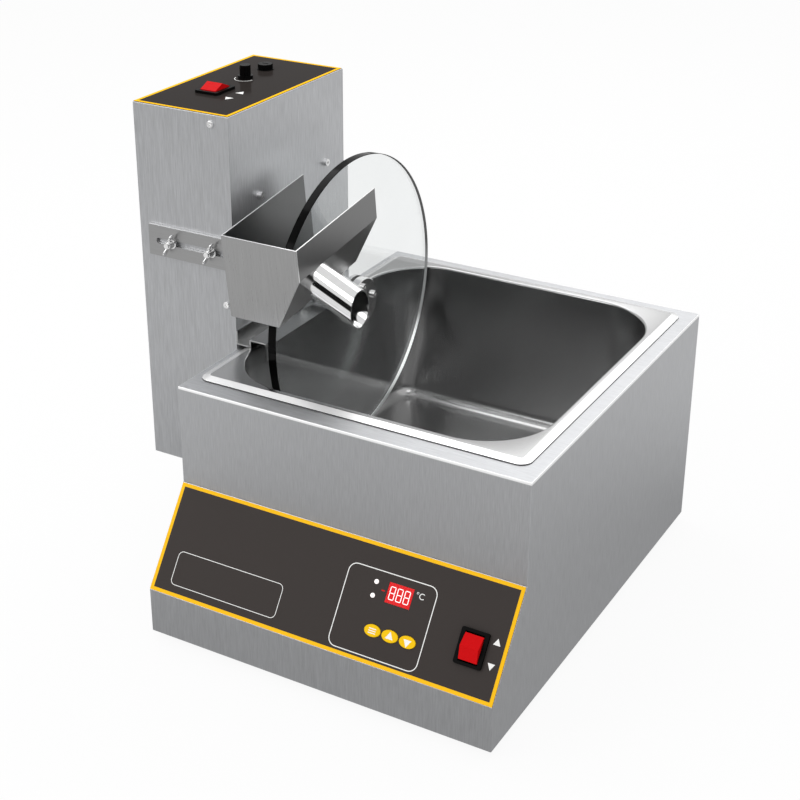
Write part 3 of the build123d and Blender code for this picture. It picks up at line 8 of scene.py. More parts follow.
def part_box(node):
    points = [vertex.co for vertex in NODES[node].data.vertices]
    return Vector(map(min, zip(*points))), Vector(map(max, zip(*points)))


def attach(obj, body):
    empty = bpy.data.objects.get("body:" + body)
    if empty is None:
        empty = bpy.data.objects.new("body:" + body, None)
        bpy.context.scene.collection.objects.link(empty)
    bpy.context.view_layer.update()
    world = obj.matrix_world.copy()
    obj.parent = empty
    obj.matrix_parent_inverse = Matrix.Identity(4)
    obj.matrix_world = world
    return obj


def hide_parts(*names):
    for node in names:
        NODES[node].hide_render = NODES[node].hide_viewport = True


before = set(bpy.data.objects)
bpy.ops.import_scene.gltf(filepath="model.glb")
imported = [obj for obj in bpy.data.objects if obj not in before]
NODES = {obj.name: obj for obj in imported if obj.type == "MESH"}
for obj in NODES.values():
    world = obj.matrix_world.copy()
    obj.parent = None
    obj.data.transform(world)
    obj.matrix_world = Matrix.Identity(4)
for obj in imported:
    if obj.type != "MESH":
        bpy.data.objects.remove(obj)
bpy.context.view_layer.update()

bl_info = {
    "name": "Chocolate melting machine",
    "version": (1, 0, 0),
    "blender": (4, 5, 0),
    "location": "View3D > Sidebar > Melter",
    "description": "Dresses the melter and its mixing tower with finishes, prints and polished pieces",
    "category": "Object",
}

MM = 0.001


def linear(hex_colour):
    """An sRGB hex value as the linear colour that a shader takes."""
    channels = [int(hex_colour[i:i + 2], 16) / 255 for i in (1, 3, 5)]
    return tuple(c / 12.92 if c <= 0.04045 else ((c + 0.055) / 1.055) ** 2.4 for c in channels)


def colour_prop(name, description, hex_colour):
    """A colour that a user may change, given as an sRGB hex value."""
    return bpy.props.FloatVectorProperty(
        name=name, description=description, subtype="COLOR", min=0, max=1, default=linear(hex_colour)
    )


def length_prop(name, description, millimetres):
    """A length that a user may change, given in millimetres."""
    return bpy.props.FloatProperty(
        name=name, description=description, subtype="DISTANCE", unit="LENGTH", default=millimetres * MM
    )


class MelterColours(bpy.types.PropertyGroup):
    """Colours of the machine's finishes and prints."""

    sheet: colour_prop("Sheet steel", "Brushed stainless sheet of the casing and the tower", "#c3c4c6")
    pan: colour_prop("Pan steel", "Drawn stainless steel of the pan", "#b4b4b4")
    chute: colour_prop("Chute steel", "Folded sheet of the chute and the saddle", "#a8a8a8")
    walls: colour_prop("Chute walls", "Sheet of the chute's walls, less brushed than its front", "#848484")
    arm: colour_prop("Arm steel", "Slotted arm of the chute", "#a8a8a8")
    polished: colour_prop("Polished steel", "Spout, wing nuts, flanges and studs", "#f0f0f0")
    overlay: colour_prop("Overlay", "Printed film of the console and the tower's top", "#3c3735")
    border: colour_prop("Border", "Printed frame round both overlays", "#f9bf16")
    ink: colour_prop("White ink", "Printed outlines, triangles and digits", "#f2f2f0")
    rocker: colour_prop("Rocker", "Both rockers", "#cc1014")
    window: colour_prop("Display window", "Clear red window in front of the digits", "#cc161a")
    button: colour_prop("Button", "The three console buttons", "#f4c408")
    black: colour_prop("Black plastic", "Switch frames, knob, fuse cap and inlets", "#0b0b0b")
    disc: colour_prop("Disc", "Clear plastic of the mixing disc", "#f1f3f3")
    rim: colour_prop("Disc rim", "The disc's edge, through which little light comes", "#060606")


class MelterSizes(bpy.types.PropertyGroup):
    """Sizes of the prints and of the marks on the controls."""

    ink_height: length_prop("Ink height", "How far a print stands on its overlay", 0.06)
    border_width: length_prop("Border width", "Width of the printed frames", 3.2)
    border_margin: length_prop("Border margin", "From the overlay's edge to the printed frame", 0.0)
    line_width: length_prop("Line width", "Width of the printed outlines", 0.8)
    triangle: length_prop("Triangle", "Side of the printed triangles", 6.6)
    digit_width: length_prop("Digit width", "Width of one digit of the display", 5.2)
    digit_height: length_prop("Digit height", "Height of one digit of the display", 11.5)
    digit_pitch: length_prop("Digit pitch", "From one digit to the next", 7.0)
    digit_stroke: length_prop("Digit stroke", "Width of a digit's bars", 0.65)


class MelterStage(bpy.types.PropertyGroup):
    """The floor and the light round the machine."""

    floor: colour_prop("Floor", "Pale floor and background", "#ffffff")
    floor_size: length_prop("Floor size", "Side of the floor", 12000)
    fill: bpy.props.FloatProperty(
        name="Fill", description="Strength of the light from all round", default=0.8
    )
    mirrored: bpy.props.FloatProperty(
        name="Mirrored", description="Strength of the sky in mirrors", default=0.8
    )


def settings():
    """The scene's property groups: colours, sizes and stage."""
    scene = bpy.context.scene
    return scene.melter_colours, scene.melter_sizes, scene.melter_stage


def node(tree, kind, inputs=None, **settings):
    """Adds a shader node, sets its properties and gives its sockets values, or links to sockets or nodes."""
    made = tree.nodes.new(f"ShaderNode{kind}")
    for key, value in settings.items():
        setattr(made, key, value)
    for socket, value in (inputs or {}).items():
        if isinstance(value, bpy.types.Node):
            value = next(output for output in value.outputs if output.enabled)
        if isinstance(value, bpy.types.NodeSocket):
            tree.links.new(value, made.inputs[socket])
        else:
            made.inputs[socket].default_value = value
    return made


def blank_material(name):
    """A material with an empty node tree."""
    material = bpy.data.materials.new(name)
    material.use_nodes = True
    material.node_tree.nodes.clear()
    return material, material.node_tree


def shade(colour, factor):
    """A colour made lighter or darker, with its alpha."""
    return (*[min(1, c * factor) for c in colour[:3]], 1)


def grain_of(tree, place, size_mm):
    """Noise from 0 to 1 whose grain has the given size in millimetres, even or in X, Y and Z."""
    sizes = [size_mm] * 3 if isinstance(size_mm, (int, float)) else size_mm
    scaled = node(tree, "Mapping", {
        "Vector": place["Object"], "Scale": [1 / (size * MM) for size in sizes]
    })
    noise = node(tree, "TexNoise", {"Vector": scaled, "Scale": 1, "Detail": 3, "Roughness": 0.6})
    return node(tree, "MapRange", {"Value": noise, "From Min": 0.3, "From Max": 0.7})


def looks_along(tree, place, axis):
    """Whether a face looks along an axis: 0 where it plainly doesn't, 1 where it nearly does."""
    facing = node(tree, "SeparateXYZ", {0: place["Normal"]}).outputs[axis]
    return node(tree, "MapRange", {"Value": facing, "From Min": 0.6, "From Max": 0.8})


def painted_rolled_highlight(tree, place, top, reach):
    """Whether a point is on an edge that rolls outwards and down by a reach from the level of its top, where
    a highlight is painted.
    """
    away = node(tree, "VectorMath", {0: place["Object"], 1: top}, operation="SUBTRACT")
    outward = node(tree, "VectorMath", {0: away, 1: place["Normal"]}, operation="DOT_PRODUCT")
    outward = node(tree, "MapRange", {"Value": outward, "From Min": 20 * MM, "From Max": 50 * MM})
    height = node(tree, "SeparateXYZ", {0: away}).outputs["Z"]
    height = node(tree, "MapRange", {"Value": height, "From Min": -reach, "From Max": -0.7 * reach})
    return node(tree, "Math", {0: outward, 1: height}, operation="MULTIPLY")


def grained(name, colour, roughness, grain_mm, vary, depth_mm=0.02, metallic=0.0,
            flat_grain_mm=None, edge=None, edge_axes="Z", rolled=None, specular=0.5, **sockets):
    """A surface whose grain varies its colour, its gloss and its height by the three given shares.

    Faces that look up may have a grain of their own. Faces that look along the given axes, cut edges among
    them, may have a painted highlight colour, and so may a rolled edge, a painted highlight given by its
    colour, the middle of its top and how far it reaches down.
    """
    spread, rough_spread, bump = vary
    material, tree = blank_material(name)
    place = node(tree, "TexCoord").outputs
    grain = grain_of(tree, place, grain_mm)
    if flat_grain_mm:
        grain = node(tree, "Mix", {
            "Factor": looks_along(tree, place, "Z"), "A": grain, "B": grain_of(tree, place, flat_grain_mm)
        })
    tone = node(tree, "Mix", {
        "Factor": grain, "A": shade(colour, 1 - spread), "B": shade(colour, 1 + spread)
    }, data_type="RGBA")
    # Faces that look along the given axes get a painted highlight: the edge colour mixed in
    edges = [(edge, looks_along(tree, place, axis)) for axis in edge_axes] if edge else []
    # A rolled edge gets a painted highlight too, its metal half mixed out so that it stays white
    if rolled:
        bright, top, reach = rolled
        share = painted_rolled_highlight(tree, place, top, reach)
        edges.append((bright, share))
        metallic = node(tree, "Mix", {"Factor": share, "A": metallic, "B": 0.5})
    for bright, share in edges:
        tone = node(tree, "Mix", {"Factor": share, "A": tone, "B": (*bright, 1)}, data_type="RGBA")
    gloss = node(tree, "MapRange", {
        "Value": grain, "To Min": roughness - rough_spread, "To Max": roughness + rough_spread
    })
    relief = node(tree, "Bump", {"Height": grain, "Strength": bump, "Distance": depth_mm * MM})
    shader = node(tree, "BsdfPrincipled", {
        "Base Color": tone, "Metallic": metallic, "Roughness": gloss, "Normal": relief,
        "Specular IOR Level": specular, **sockets
    })
    node(tree, "OutputMaterial", {"Surface": shader})
    return material


def screen_ink(name, colour, roughness=0.45, spread=0.02, specular=0.1):
    """Screen-printed ink: an even colour with a slightly uneven, dull skin."""
    return grained(
        name, colour, roughness=roughness, grain_mm=1.5, vary=(spread, 0.05, 0.05), specular=specular
    )


def dress(names, *finish, **look):
    """Gives CAD nodes a grained finish in place of their plain one."""
    material = grained(*finish, **look)
    for name in names:
        mesh = NODES[name].data
        mesh.materials.clear()
        mesh.materials.append(material)
    return material


def new_object(name, data):
    """Puts an object of the given data into the scene."""
    made = bpy.data.objects.new(name, data)
    bpy.context.scene.collection.objects.link(made)
    return made


def new_mesh(name, shape, *materials):
    """Makes an object of a bmesh, which is used up."""
    mesh = bpy.data.meshes.new(name)
    shape.to_mesh(mesh)
    shape.free()
    for material in materials:
        mesh.materials.append(material)
    return new_object(name, mesh)


def new_piece(name, shape, body, slot, *materials, replaced=(), angle=35):
    """Makes an object of a bmesh, smooth but for its sharp edges, that rides on a body."""
    piece = new_mesh(name, shape, *materials)
    for polygon in piece.data.polygons:
        polygon.use_smooth = True
    piece.data.set_sharp_from_angle(angle=math.radians(angle))
    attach(piece, body)
    if replaced:
        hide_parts(*replaced)
    return piece


def new_print(name, shape, place, body, slot, ink):
    """Gives a flat shape the height of printed ink, lays it on a face and makes it a piece."""
    flat = shape.faces[:]
    for face in flat:
        if face.normal.z < 0:
            face.normal_flip()
    made = bmesh.ops.extrude_face_region(shape, geom=flat, use_keep_orig=True)["geom"]
    raised = [v for v in made if isinstance(v, bmesh.types.BMVert)]
    bmesh.ops.translate(shape, vec=(0, 0, settings()[1].ink_height), verts=raised)
    turn_out(shape)
    bmesh.ops.transform(shape, matrix=place, verts=shape.verts[:])
    new_piece(name, shape, body, slot, ink)


def new_border(name, width, height, y, place, body, ink):
    """Prints a frame along an overlay's edge."""
    sizes = settings()[1]
    margin = sizes.border_margin
    border = bmesh.new()
    add_plate(border, width - 2 * margin, height - 2 * margin, 0, y, hole=sizes.border_width)
    new_print(name, border, place, body, "overlay_film", ink)


def turn_out(shape):
    """Makes all faces of a bmesh look outwards."""
    bmesh.ops.recalc_face_normals(shape, faces=shape.faces[:])


def ease(shape, geom, reach, segments=3, affect="VERTICES"):
    """Rounds corners of a flat outline, or edges of a solid."""
    return bmesh.ops.bevel(
        shape, geom=geom, offset=reach, segments=segments, profile=0.5, affect=affect, material=-1
    )


def add_plate(shape, width, height, x, y, radius=0, hole=0, segments=8):
    """A flat plate at x, y, with rounded corners and, with a hole, only a frame of that width left."""
    made = bmesh.ops.create_grid(shape, x_segments=1, y_segments=1, size=0.5)["verts"]
    bmesh.ops.scale(shape, vec=(width, height, 1), verts=made)
    bmesh.ops.translate(shape, vec=(x, y, 0), verts=made)
    face = made[0].link_faces[0]
    if radius:
        rounded = ease(shape, made, radius, segments)
        faces = rounded["faces"] + [f for v in rounded["verts"] for f in v.link_faces]
        face = max(faces, key=lambda f: f.calc_area())
    if hole:
        bmesh.ops.inset_region(shape, faces=[face], thickness=hole, use_boundary=True, use_even_offset=True)
        bmesh.ops.delete(shape, geom=[face], context="FACES_ONLY")


def add_triangle(shape, side, x, y, turn=0):
    """A triangle that points up the face, or turned by an angle in degrees."""
    place = Matrix.Translation((x, y, 0)) @ Matrix.Rotation(math.radians(turn), 4, "Z")
    bmesh.ops.create_circle(shape, cap_ends=True, segments=3, radius=side / math.sqrt(3), matrix=place)


def add_arrows(shape, side, x, y, reach):
    """Two triangles that point away from each other, each at a reach from the point between them."""
    add_triangle(shape, side, x, y + reach)
    add_triangle(shape, side, x, y - reach, turn=180)


def turn_profile(shape, axis, steps, centre=(0, 0, 0)):
    """Turns all that a bmesh holds, a profile so far, once round an axis."""
    bmesh.ops.spin(
        shape, geom=shape.verts[:] + shape.edges[:], cent=centre, axis=axis, dvec=(0, 0, 0), angle=math.tau,
        steps=steps, use_merge=True, use_duplicate=False,
    )


def middle(name):
    """The middle of a CAD node's box."""
    low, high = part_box(name)
    return (low + high) / 2


def on_face(place, name):
    """A CAD node's middle as a point of a printed face."""
    return place.inverted() @ middle(name)


# The middle of the melter's base, from which the stage is laid out
melter_base = Vector((*middle("casing_shell").xy, 0))

# The two printed faces: X runs along a face and Y up it, from the console's top and from the lid's middle
CONSOLE_RUN = 58 * MM
CONSOLE_RISE = 83 * MM
OVERLAY_THICKNESS = 0.5 * MM
console_low, console_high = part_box("console_overlay")
console_out = Vector((0, -CONSOLE_RISE, CONSOLE_RUN)).normalized()
console_up = Vector((0, CONSOLE_RUN, CONSOLE_RISE)).normalized()
console_top = Vector((melter_base.x, console_high.y + OVERLAY_THICKNESS * console_out.y, console_high.z))
console_width = console_high.x - console_low.x
console_length = (console_high.z - console_low.z - OVERLAY_THICKNESS * console_out.z) / console_up.z
console_place = Matrix.Translation(console_top) @ Matrix(
    ((1, 0, 0, 0), (0, console_up.y, console_out.y, 0), (0, console_up.z, console_out.z, 0), (0, 0, 0, 1))
)
lid_low, lid_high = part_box("tower_overlay")
lid_place = Matrix.Translation((*middle("tower_overlay").xy, lid_high.z))


class MELTER_OT_sheet(bpy.types.Operator):
    """Brushed stainless sheet of the casing, the tower and what closes them"""

    bl_idname = "melter.sheet"
    bl_label = "Casing and tower sheet"

    def execute(self, context):
        colours = settings()[0]
        deck = Vector((*melter_base.xy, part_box("casing_shell")[1].z))
        fold = 2.8 * MM
        # Stainless sheet, belt brushed upright: streaks nearly a millimetre wide, drawn coarser than the real
        # grit so that they show, a broad soft gloss and a painted white highlight along the fold round the
        # deck
        dress(
            ["casing_shell"], "Brushed stainless", colours.sheet, metallic=1.0, roughness=0.46,
            grain_mm=(0.8, 0.8, 16), flat_grain_mm=(16, 0.8, 0.8), vary=(0.1, 0.04, 0.15),
            rolled=(linear("#ffffff"), deck, fold),
        )
        # The tower's sheet is brushed coarser, and painted lighter than the casing's to stand in for light:
        # its cover a little, the plate on its side more
        for name, factor, part in (
            ("Coarse brushed stainless", 1.05, "tower_cover"),
            ("Bright brushed stainless", 1.2, "tower_side_plate"),
        ):
            dress(
                [part], name, shade(colours.sheet, factor), metallic=1.0, roughness=0.54, grain_mm=(1, 1, 18),
                flat_grain_mm=(18, 1, 1), vary=(0.12, 0.04, 0.2),
            )
        # Sheet left as the mill rolled it: an even grey, faintly cloudy
        dress(
            ["base_plate", "tower_base_tray", "support_rails"], "Mill stainless", colours.sheet, metallic=1.0,
            roughness=0.42, grain_mm=6, vary=(0.05, 0.05, 0.1),
        )
        return {"FINISHED"}


class MELTER_OT_pan(bpy.types.Operator):
    """The drawn pan"""

    bl_idname = "melter.pan"
    bl_label = "Melting pan"

    def execute(self, context):
        colours = settings()[0]
        low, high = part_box("melting_pan")
        rim_top = Vector((*middle("melting_pan").xy, high.z))
        sheet, rim_reach = 1.0, 10 * MM
        # Deep-drawn stainless, satin: a faint grain that runs up the wall, and a painted highlight on the
        # rolled edge
        steel = grained(
            "Satin drawn stainless", colours.pan, metallic=1.0, roughness=0.25, grain_mm=(1.2, 1.2, 70),
            vary=(0.01, 0.01, 0.0), rolled=(linear("#ececec"), rim_top, rim_reach),
        )
        # A dark band at the rim's foot, where it meets the deck: a painted shadow for the gap there
        shadow_seam = grained(
            "Grey silicone", linear("#3a3a3a"), roughness=0.55, grain_mm=2, vary=(0.05, 0.05, 0.05),
            specular=0.1,
        )
        shape = self.pan(high - low, self.rings((high.z - low.z) / MM - sheet))
        bmesh.ops.translate(shape, vec=rim_top, verts=shape.verts[:])
        pan = new_piece(
            "drawn_pan", shape, "melter", "pan_steel", steel, shadow_seam, replaced=("melting_pan",), angle=15
        )
        wall = pan.modifiers.new("sheet", "SOLIDIFY")
        wall.thickness = sheet * MM
        wall.offset = -1
        wall.use_even_offset = True
        return {"FINISHED"}

    def rings(self, depth):
        """The lines that run round the pan, from the foot of its rim to its floor, in millimetres.

        Each one says how far it lies inside the rim's edge at the sides and at the ends, how far below the
        rim's top, and the radius of its corners.
        """
        # The rim's foot carries a painted shadow band shadow_seam high
        rim_height, rim_bevel, rim_corner, shadow_seam = 3.1, 7.3, 11.0, 0.9
        mouth_side, mouth_end, mouth_roll, mouth_corner = 12.5, 13.5, 2.6, 65.0
        floor_round, floor_corner = 13.0, 26.0
        roll_steps, wall_steps, floor_steps = 5, 6, 10
        draft = math.tan(math.radians(4))
        wall_end = depth - floor_round
        rings = [
            (0, 0, rim_height, rim_corner),
            (0, 0, rim_height - shadow_seam, rim_corner),
            (rim_bevel, rim_bevel, 0, rim_corner - rim_bevel),
        ]
        for step in range(roll_steps + 1):
            turn = math.radians(90) * step / roll_steps
            back = mouth_roll * (1 - math.sin(turn))
            down = mouth_roll * (1 - math.cos(turn))
            rings.append((mouth_side - back, mouth_end - back, down, mouth_corner + back))
        for step in range(1, wall_steps + 1):
            down = mouth_roll + (wall_end - mouth_roll) * step / wall_steps
            corner = mouth_corner + (floor_corner - mouth_corner) * step / wall_steps
            rings.append((mouth_side + down * draft, mouth_end + down * draft, down, corner))
        side, end, _, corner = rings[-1]
        for step in range(1, floor_steps + 1):
            turn = math.radians(90) * step / floor_steps
            inward = floor_round * (1 - math.cos(turn))
            down = wall_end + floor_round * math.sin(turn)
            rings.append((side + inward, end + inward, down, corner - inward))
        return rings

    def pan(self, size, rings):
        """One sheet from the rim over the rolled mouth to the floor, its corners tighter further down."""
        old_side, old_end, down, old_corner = rings[0]
        shape = bmesh.new()
        add_plate(shape, size.x, size.y, 0, 0, radius=old_corner * MM, segments=16)
        bmesh.ops.delete(shape, geom=shape.faces[:], context="FACES_ONLY")
        bmesh.ops.translate(shape, vec=(0, 0, -down * MM), verts=shape.verts[:])
        edges = shape.edges[:]
        # The first step up is the painted shadow band, the second finish
        finish = 1
        for side, end, down, corner in rings[1:]:
            made = bmesh.ops.extrude_edge_only(shape, edges=edges)["geom"]
            moved = {v for v in made if isinstance(v, bmesh.types.BMVert)}
            edges = [e for e in made if isinstance(e, bmesh.types.BMEdge) and set(e.verts) <= moved]
            for face in [f for f in made if isinstance(f, bmesh.types.BMFace)]:
                face.material_index = finish
            finish = 0
            old_middle = size / 2 - Vector((old_side + old_corner, old_end + old_corner, 0)) * MM
            new_middle = size / 2 - Vector((side + corner, end + corner, 0)) * MM
            for vert in moved:
                quarter = Vector((math.copysign(1, vert.co.x), math.copysign(1, vert.co.y), 0))
                vert.co = quarter * new_middle + (vert.co - quarter * old_middle) * (corner / old_corner)
                vert.co.z = -down * MM
            old_side, old_end, old_corner = side, end, corner
        bmesh.ops.contextual_create(shape, geom=edges)
        turn_out(shape)
        if max(shape.faces, key=lambda f: f.calc_area()).normal.z < 0:
            bmesh.ops.reverse_faces(shape, faces=shape.faces[:])
        return shape


class MELTER_OT_chute(bpy.types.Operator):
    """The chute's folded plates, its arm, the saddle and the polished spout"""

    bl_idname = "melter.chute"
    bl_label = "Chute and saddle"

    def execute(self, context):
        colours = settings()[0]
        painted_edge_highlight = linear("#fafafa")
        # Cold-rolled stainless sheet with a fine upright brush, and a painted white highlight on faces that
        # look up or to the right, its cut edges among them
        dress(
            ["chute_front"], "Fine brushed stainless", colours.chute, metallic=1.0, roughness=0.3,
            grain_mm=(0.9, 40, 40), vary=(0.09, 0.04, 0.06), edge=painted_edge_highlight, edge_axes="XZ",
        )
        # Its walls are smooth as rolled; the inner one is painted darker, a painted shade, and faces that
        # look up carry a painted highlight
        for name, factor, part in (
            ("Smooth stainless", 1.0, "chute_right_wall"), ("Dull rolled stainless", 0.7, "chute_left_wall")
        ):
            dress(
                [part], name, shade(colours.walls, factor), metallic=1.0, roughness=0.3,
                grain_mm=(40, 0.9, 40), vary=(0.02, 0.02, 0.01), edge=painted_edge_highlight,
            )
        # The saddle is satin sheet, brushed along its fold: soft bands of light
        dress(
            ["hanger_saddle"], "Satin folded stainless", colours.chute, metallic=1.0, roughness=0.24,
            grain_mm=(30, 0.9, 0.9), vary=(0.04, 0.03, 0.03),
        )
        # The arm is the chute's sheet, ground along its length, with a painted white highlight on faces that
        # look up, its top edge among them
        dress(
            ["chute_arm"], "Ground stainless", colours.arm, metallic=1.0, roughness=0.34,
            grain_mm=(30, 0.9, 0.9), vary=(0.05, 0.04, 0.1), edge=linear("#ffffff"),
        )
        # Buffed tube: a mirror with only a trace of haze
        mirror = grained(
            "Polished stainless", colours.polished, metallic=1.0, roughness=0.09, grain_mm=8,
            vary=(0.02, 0.02, 0.02),
        )
        new_piece("spout", self.spout(), "chute", "polished_steel", mirror, replaced=("chute_spout",))
        # Milled polyethylene: waxy and white
        dress(
            ["chute_scraper"], "White polyethylene", linear("#dededa"), roughness=0.45, grain_mm=3,
            vary=(0.03, 0.05, 0.1),
        )
        return {"FINISHED"}

    def spout(self):
        """A thin tube that leaves the sloped wall square and is cut upright at its mouth."""
        root = Vector((-28.991, -77.058, 322.619)) * MM
        way = Vector((0.88668, 0.06035, -0.45843))
        radius, wall, steps = 16.1 * MM, 1.2 * MM, 128
        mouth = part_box("chute_spout")[1].x
        place = Matrix.Translation(root) @ way.to_track_quat("Z", "Y").to_matrix().to_4x4()
        shape = bmesh.new()
        shape.edges.new([shape.verts.new((r, 0, 0)) for r in (radius - wall, radius)])
        turn_profile(shape, (0, 0, 1), steps)
        bmesh.ops.transform(shape, matrix=place, verts=shape.verts[:])
        made = bmesh.ops.extrude_face_region(shape, geom=shape.faces[:], use_keep_orig=True)["geom"]
        # Each corner of the far ring slides along the tube to the upright cut
        for vert in [v for v in made if isinstance(v, bmesh.types.BMVert)]:
            vert.co += way * ((mouth - vert.co.x) / way.x)
        turn_out(shape)
        return shape


class MELTER_OT_wheel(bpy.types.Operator):
    """The clear mixing disc with its flanges, screws and shaft"""

    bl_idname = "melter.wheel"
    bl_label = "Mixing wheel"

    def execute(self, context):
        colours = settings()[0]
        # Cast acrylic: clear and polished, a little grey
        clear = grained(
            "Clear acrylic", colours.disc, roughness=0.02, grain_mm=40, vary=(0.01, 0.01, 0.0), IOR=1.49,
            **{"Transmission Weight": 1.0},
        )
        new_piece(
            "disc", self.disc(), "wheel", "disc_clear", clear, self.rim(colours), replaced=("mixing_disc",),
            angle=10,
        )
        # Turned on a lathe: bright, with fine rings round the shaft
        dress(
            ["front_flange", "rear_flange", "drive_shaft", "shaft_bush", "hub_screws"], "Turned stainless",
            colours.polished, metallic=1.0, roughness=0.2, grain_mm=(0.8, 4, 4), vary=(0.04, 0.05, 0.08),
        )
        return {"FINISHED"}

    def rim(self, colours):
        """The disc's edge: painted near black from outside, a painted shade for the little light that comes
        back, and a painted glow from within.
        """
        material, tree = blank_material("Acrylic edge")
        dark = (*colours.rim, 1)
        # Outside, a sawn and polished edge, painted nearly black as a painted shade, its gloss a little
        # uneven
        grain = 3 * MM
        place = node(tree, "TexCoord").outputs["Object"]
        scaled = node(tree, "Mapping", {"Vector": place, "Scale": [1 / grain] * 3})
        noise = node(tree, "TexNoise", {"Vector": scaled, "Scale": 1, "Detail": 2})
        gloss = node(tree, "MapRange", {"Value": noise, "To Min": 0.05, "To Max": 0.15})
        outside = node(tree, "BsdfPrincipled", {
            "Base Color": dark, "Roughness": gloss, "Specular IOR Level": 0.05
        })
        # From within, the edge's lower half glows with painted light that stands in for light from above,
        # with a painted glint where the edge slopes as the sky would mirror in it, and its upper half is
        # painted dark
        face = node(tree, "NewGeometry").outputs
        level = node(tree, "SeparateXYZ", {0: face["Normal"]}).outputs["Z"]
        lower, rise, fall = [
            node(tree, "MapRange", {"Value": level, "From Min": start, "From Max": end})
            for start, end in ((-0.1, 0.1), (0.42, 0.58), (0.9, 0.76))
        ]
        painted_glint = node(tree, "Math", {0: rise, 1: fall}, operation="MULTIPLY")
        tone = node(tree, "Mix", {
            "Factor": lower, "A": dark, "B": shade(colours.disc, 0.2)
        }, data_type="RGBA")
        tone = node(tree, "Mix", {"Factor": painted_glint, "A": tone, "B": (*colours.disc, 1)}, data_type="RGBA")
        # The edge emits its own tone: a painted glow
        inside = node(tree, "BsdfPrincipled", {
            "Base Color": tone, "Roughness": 0.6, "Specular IOR Level": 0.05, "Emission Color": tone,
            "Emission Strength": 1.1
        })
        mixed = node(tree, "MixShader", {0: face["Backfacing"], 1: outside, 2: inside})
        node(tree, "OutputMaterial", {"Surface": mixed})
        return material

    def disc(self):
        """A flat ring turned about the shaft, with eased edges and the rim as its second finish."""
        low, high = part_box("mixing_disc")
        centre = (low + high) / 2
        radius, bore, easing, steps = (high.z - low.z) / 2, 5.3 * MM, 0.5 * MM, 192
        shape = bmesh.new()
        corners = [shape.verts.new((x, centre.y, centre.z + r)) for x, r in (
            (low.x, bore), (low.x, radius), (high.x, radius), (high.x, bore)
        )]
        shape.edges.new((corners[3], corners[0]))
        for first, second in zip(corners, corners[1:]):
            shape.edges.new((first, second))
        ease(shape, corners[1:3], easing)
        turn_profile(shape, (1, 0, 0), steps, centre)
        turn_out(shape)
        for face in shape.faces:
            spot = face.calc_center_median() - centre
            if math.hypot(spot.y, spot.z) > radius - easing:
                face.material_index = 1
        return shape


class MELTER_OT_console(bpy.types.Operator):
    """The console's overlay and what is printed on it"""

    bl_idname = "melter.console"
    bl_label = "Console print"

    def execute(self, context):
        colours, sizes, _ = settings()
        # Screen-printed polyester film with a fine velvet texture
        dress(
            ["console_overlay"], "Printed polyester", colours.overlay, roughness=0.42, grain_mm=0.7,
            vary=(0.03, 0.06, 0.1), specular=0.08,
        )
        # Matt inks, printed on the film
        yellow = screen_ink("Yellow screen ink", colours.border, spread=0.03)
        white = screen_ink("White screen ink", colours.ink)
        red = screen_ink("Red screen ink", colours.window)
        half = console_length / 2
        new_border("console_border", console_width, console_length, -half, console_place, "melter", yellow)
        # Both outlines in millimetres: width, height, place of the middle and corner, then share of a line
        outlines = bmesh.new()
        for *outline, share in ((112.2, 31.0, -97.6, -74.65, 5, 0.7), (86.2, 73.2, 56.6, -58.3, 8, 1)):
            width, height, x, y, corner = [length * MM for length in outline]
            add_plate(outlines, width, height, x, y, radius=corner, hole=share * sizes.line_width)
        new_print("console_outlines", outlines, console_place, "melter", "overlay_film", white)
        switch = on_face(console_place, "melter_switch_frame")
        beside, reach = 19.6 * MM, 9.5 * MM
        arrows = bmesh.new()
        add_arrows(arrows, sizes.triangle, switch.x + beside, switch.y, reach)
        new_print("switch_triangles", arrows, console_place, "melter", "overlay_film", white)
        # The signs stand left and right of the display
        window = on_face(console_place, "display_window")
        minus_width, minus_height, minus_x = 3.2 * MM, 1.0 * MM, window.x - 15.7 * MM
        minus = bmesh.new()
        add_plate(minus, minus_width, minus_height, minus_x, window.y)
        new_print("minus_sign", minus, console_place, "melter", "display_red", red)
        degree = self.degree_sign(window.x + 18.4 * MM, window.y + 4.6 * MM)
        new_print("degree_sign", degree, console_place, "melter", "overlay_film", white)
        return {"FINISHED"}

    def degree_sign(self, x, y):
        """The sign for degrees Celsius as a flat shape."""
        text = bpy.data.curves.new("degree_sign", "FONT")
        text.body = "°C"
        text.size = 7.5 * MM
        text.align_x = "CENTER"
        text.align_y = "CENTER"
        source = new_object("degree_source", text)
        bpy.context.view_layer.update()
        flat = bpy.data.meshes.new_from_object(source)
        shape = bmesh.new()
        shape.from_mesh(flat)
        bpy.data.objects.remove(source)
        bpy.data.meshes.remove(flat)
        bmesh.ops.translate(shape, vec=(x, y, 0), verts=shape.verts[:])
        return shape


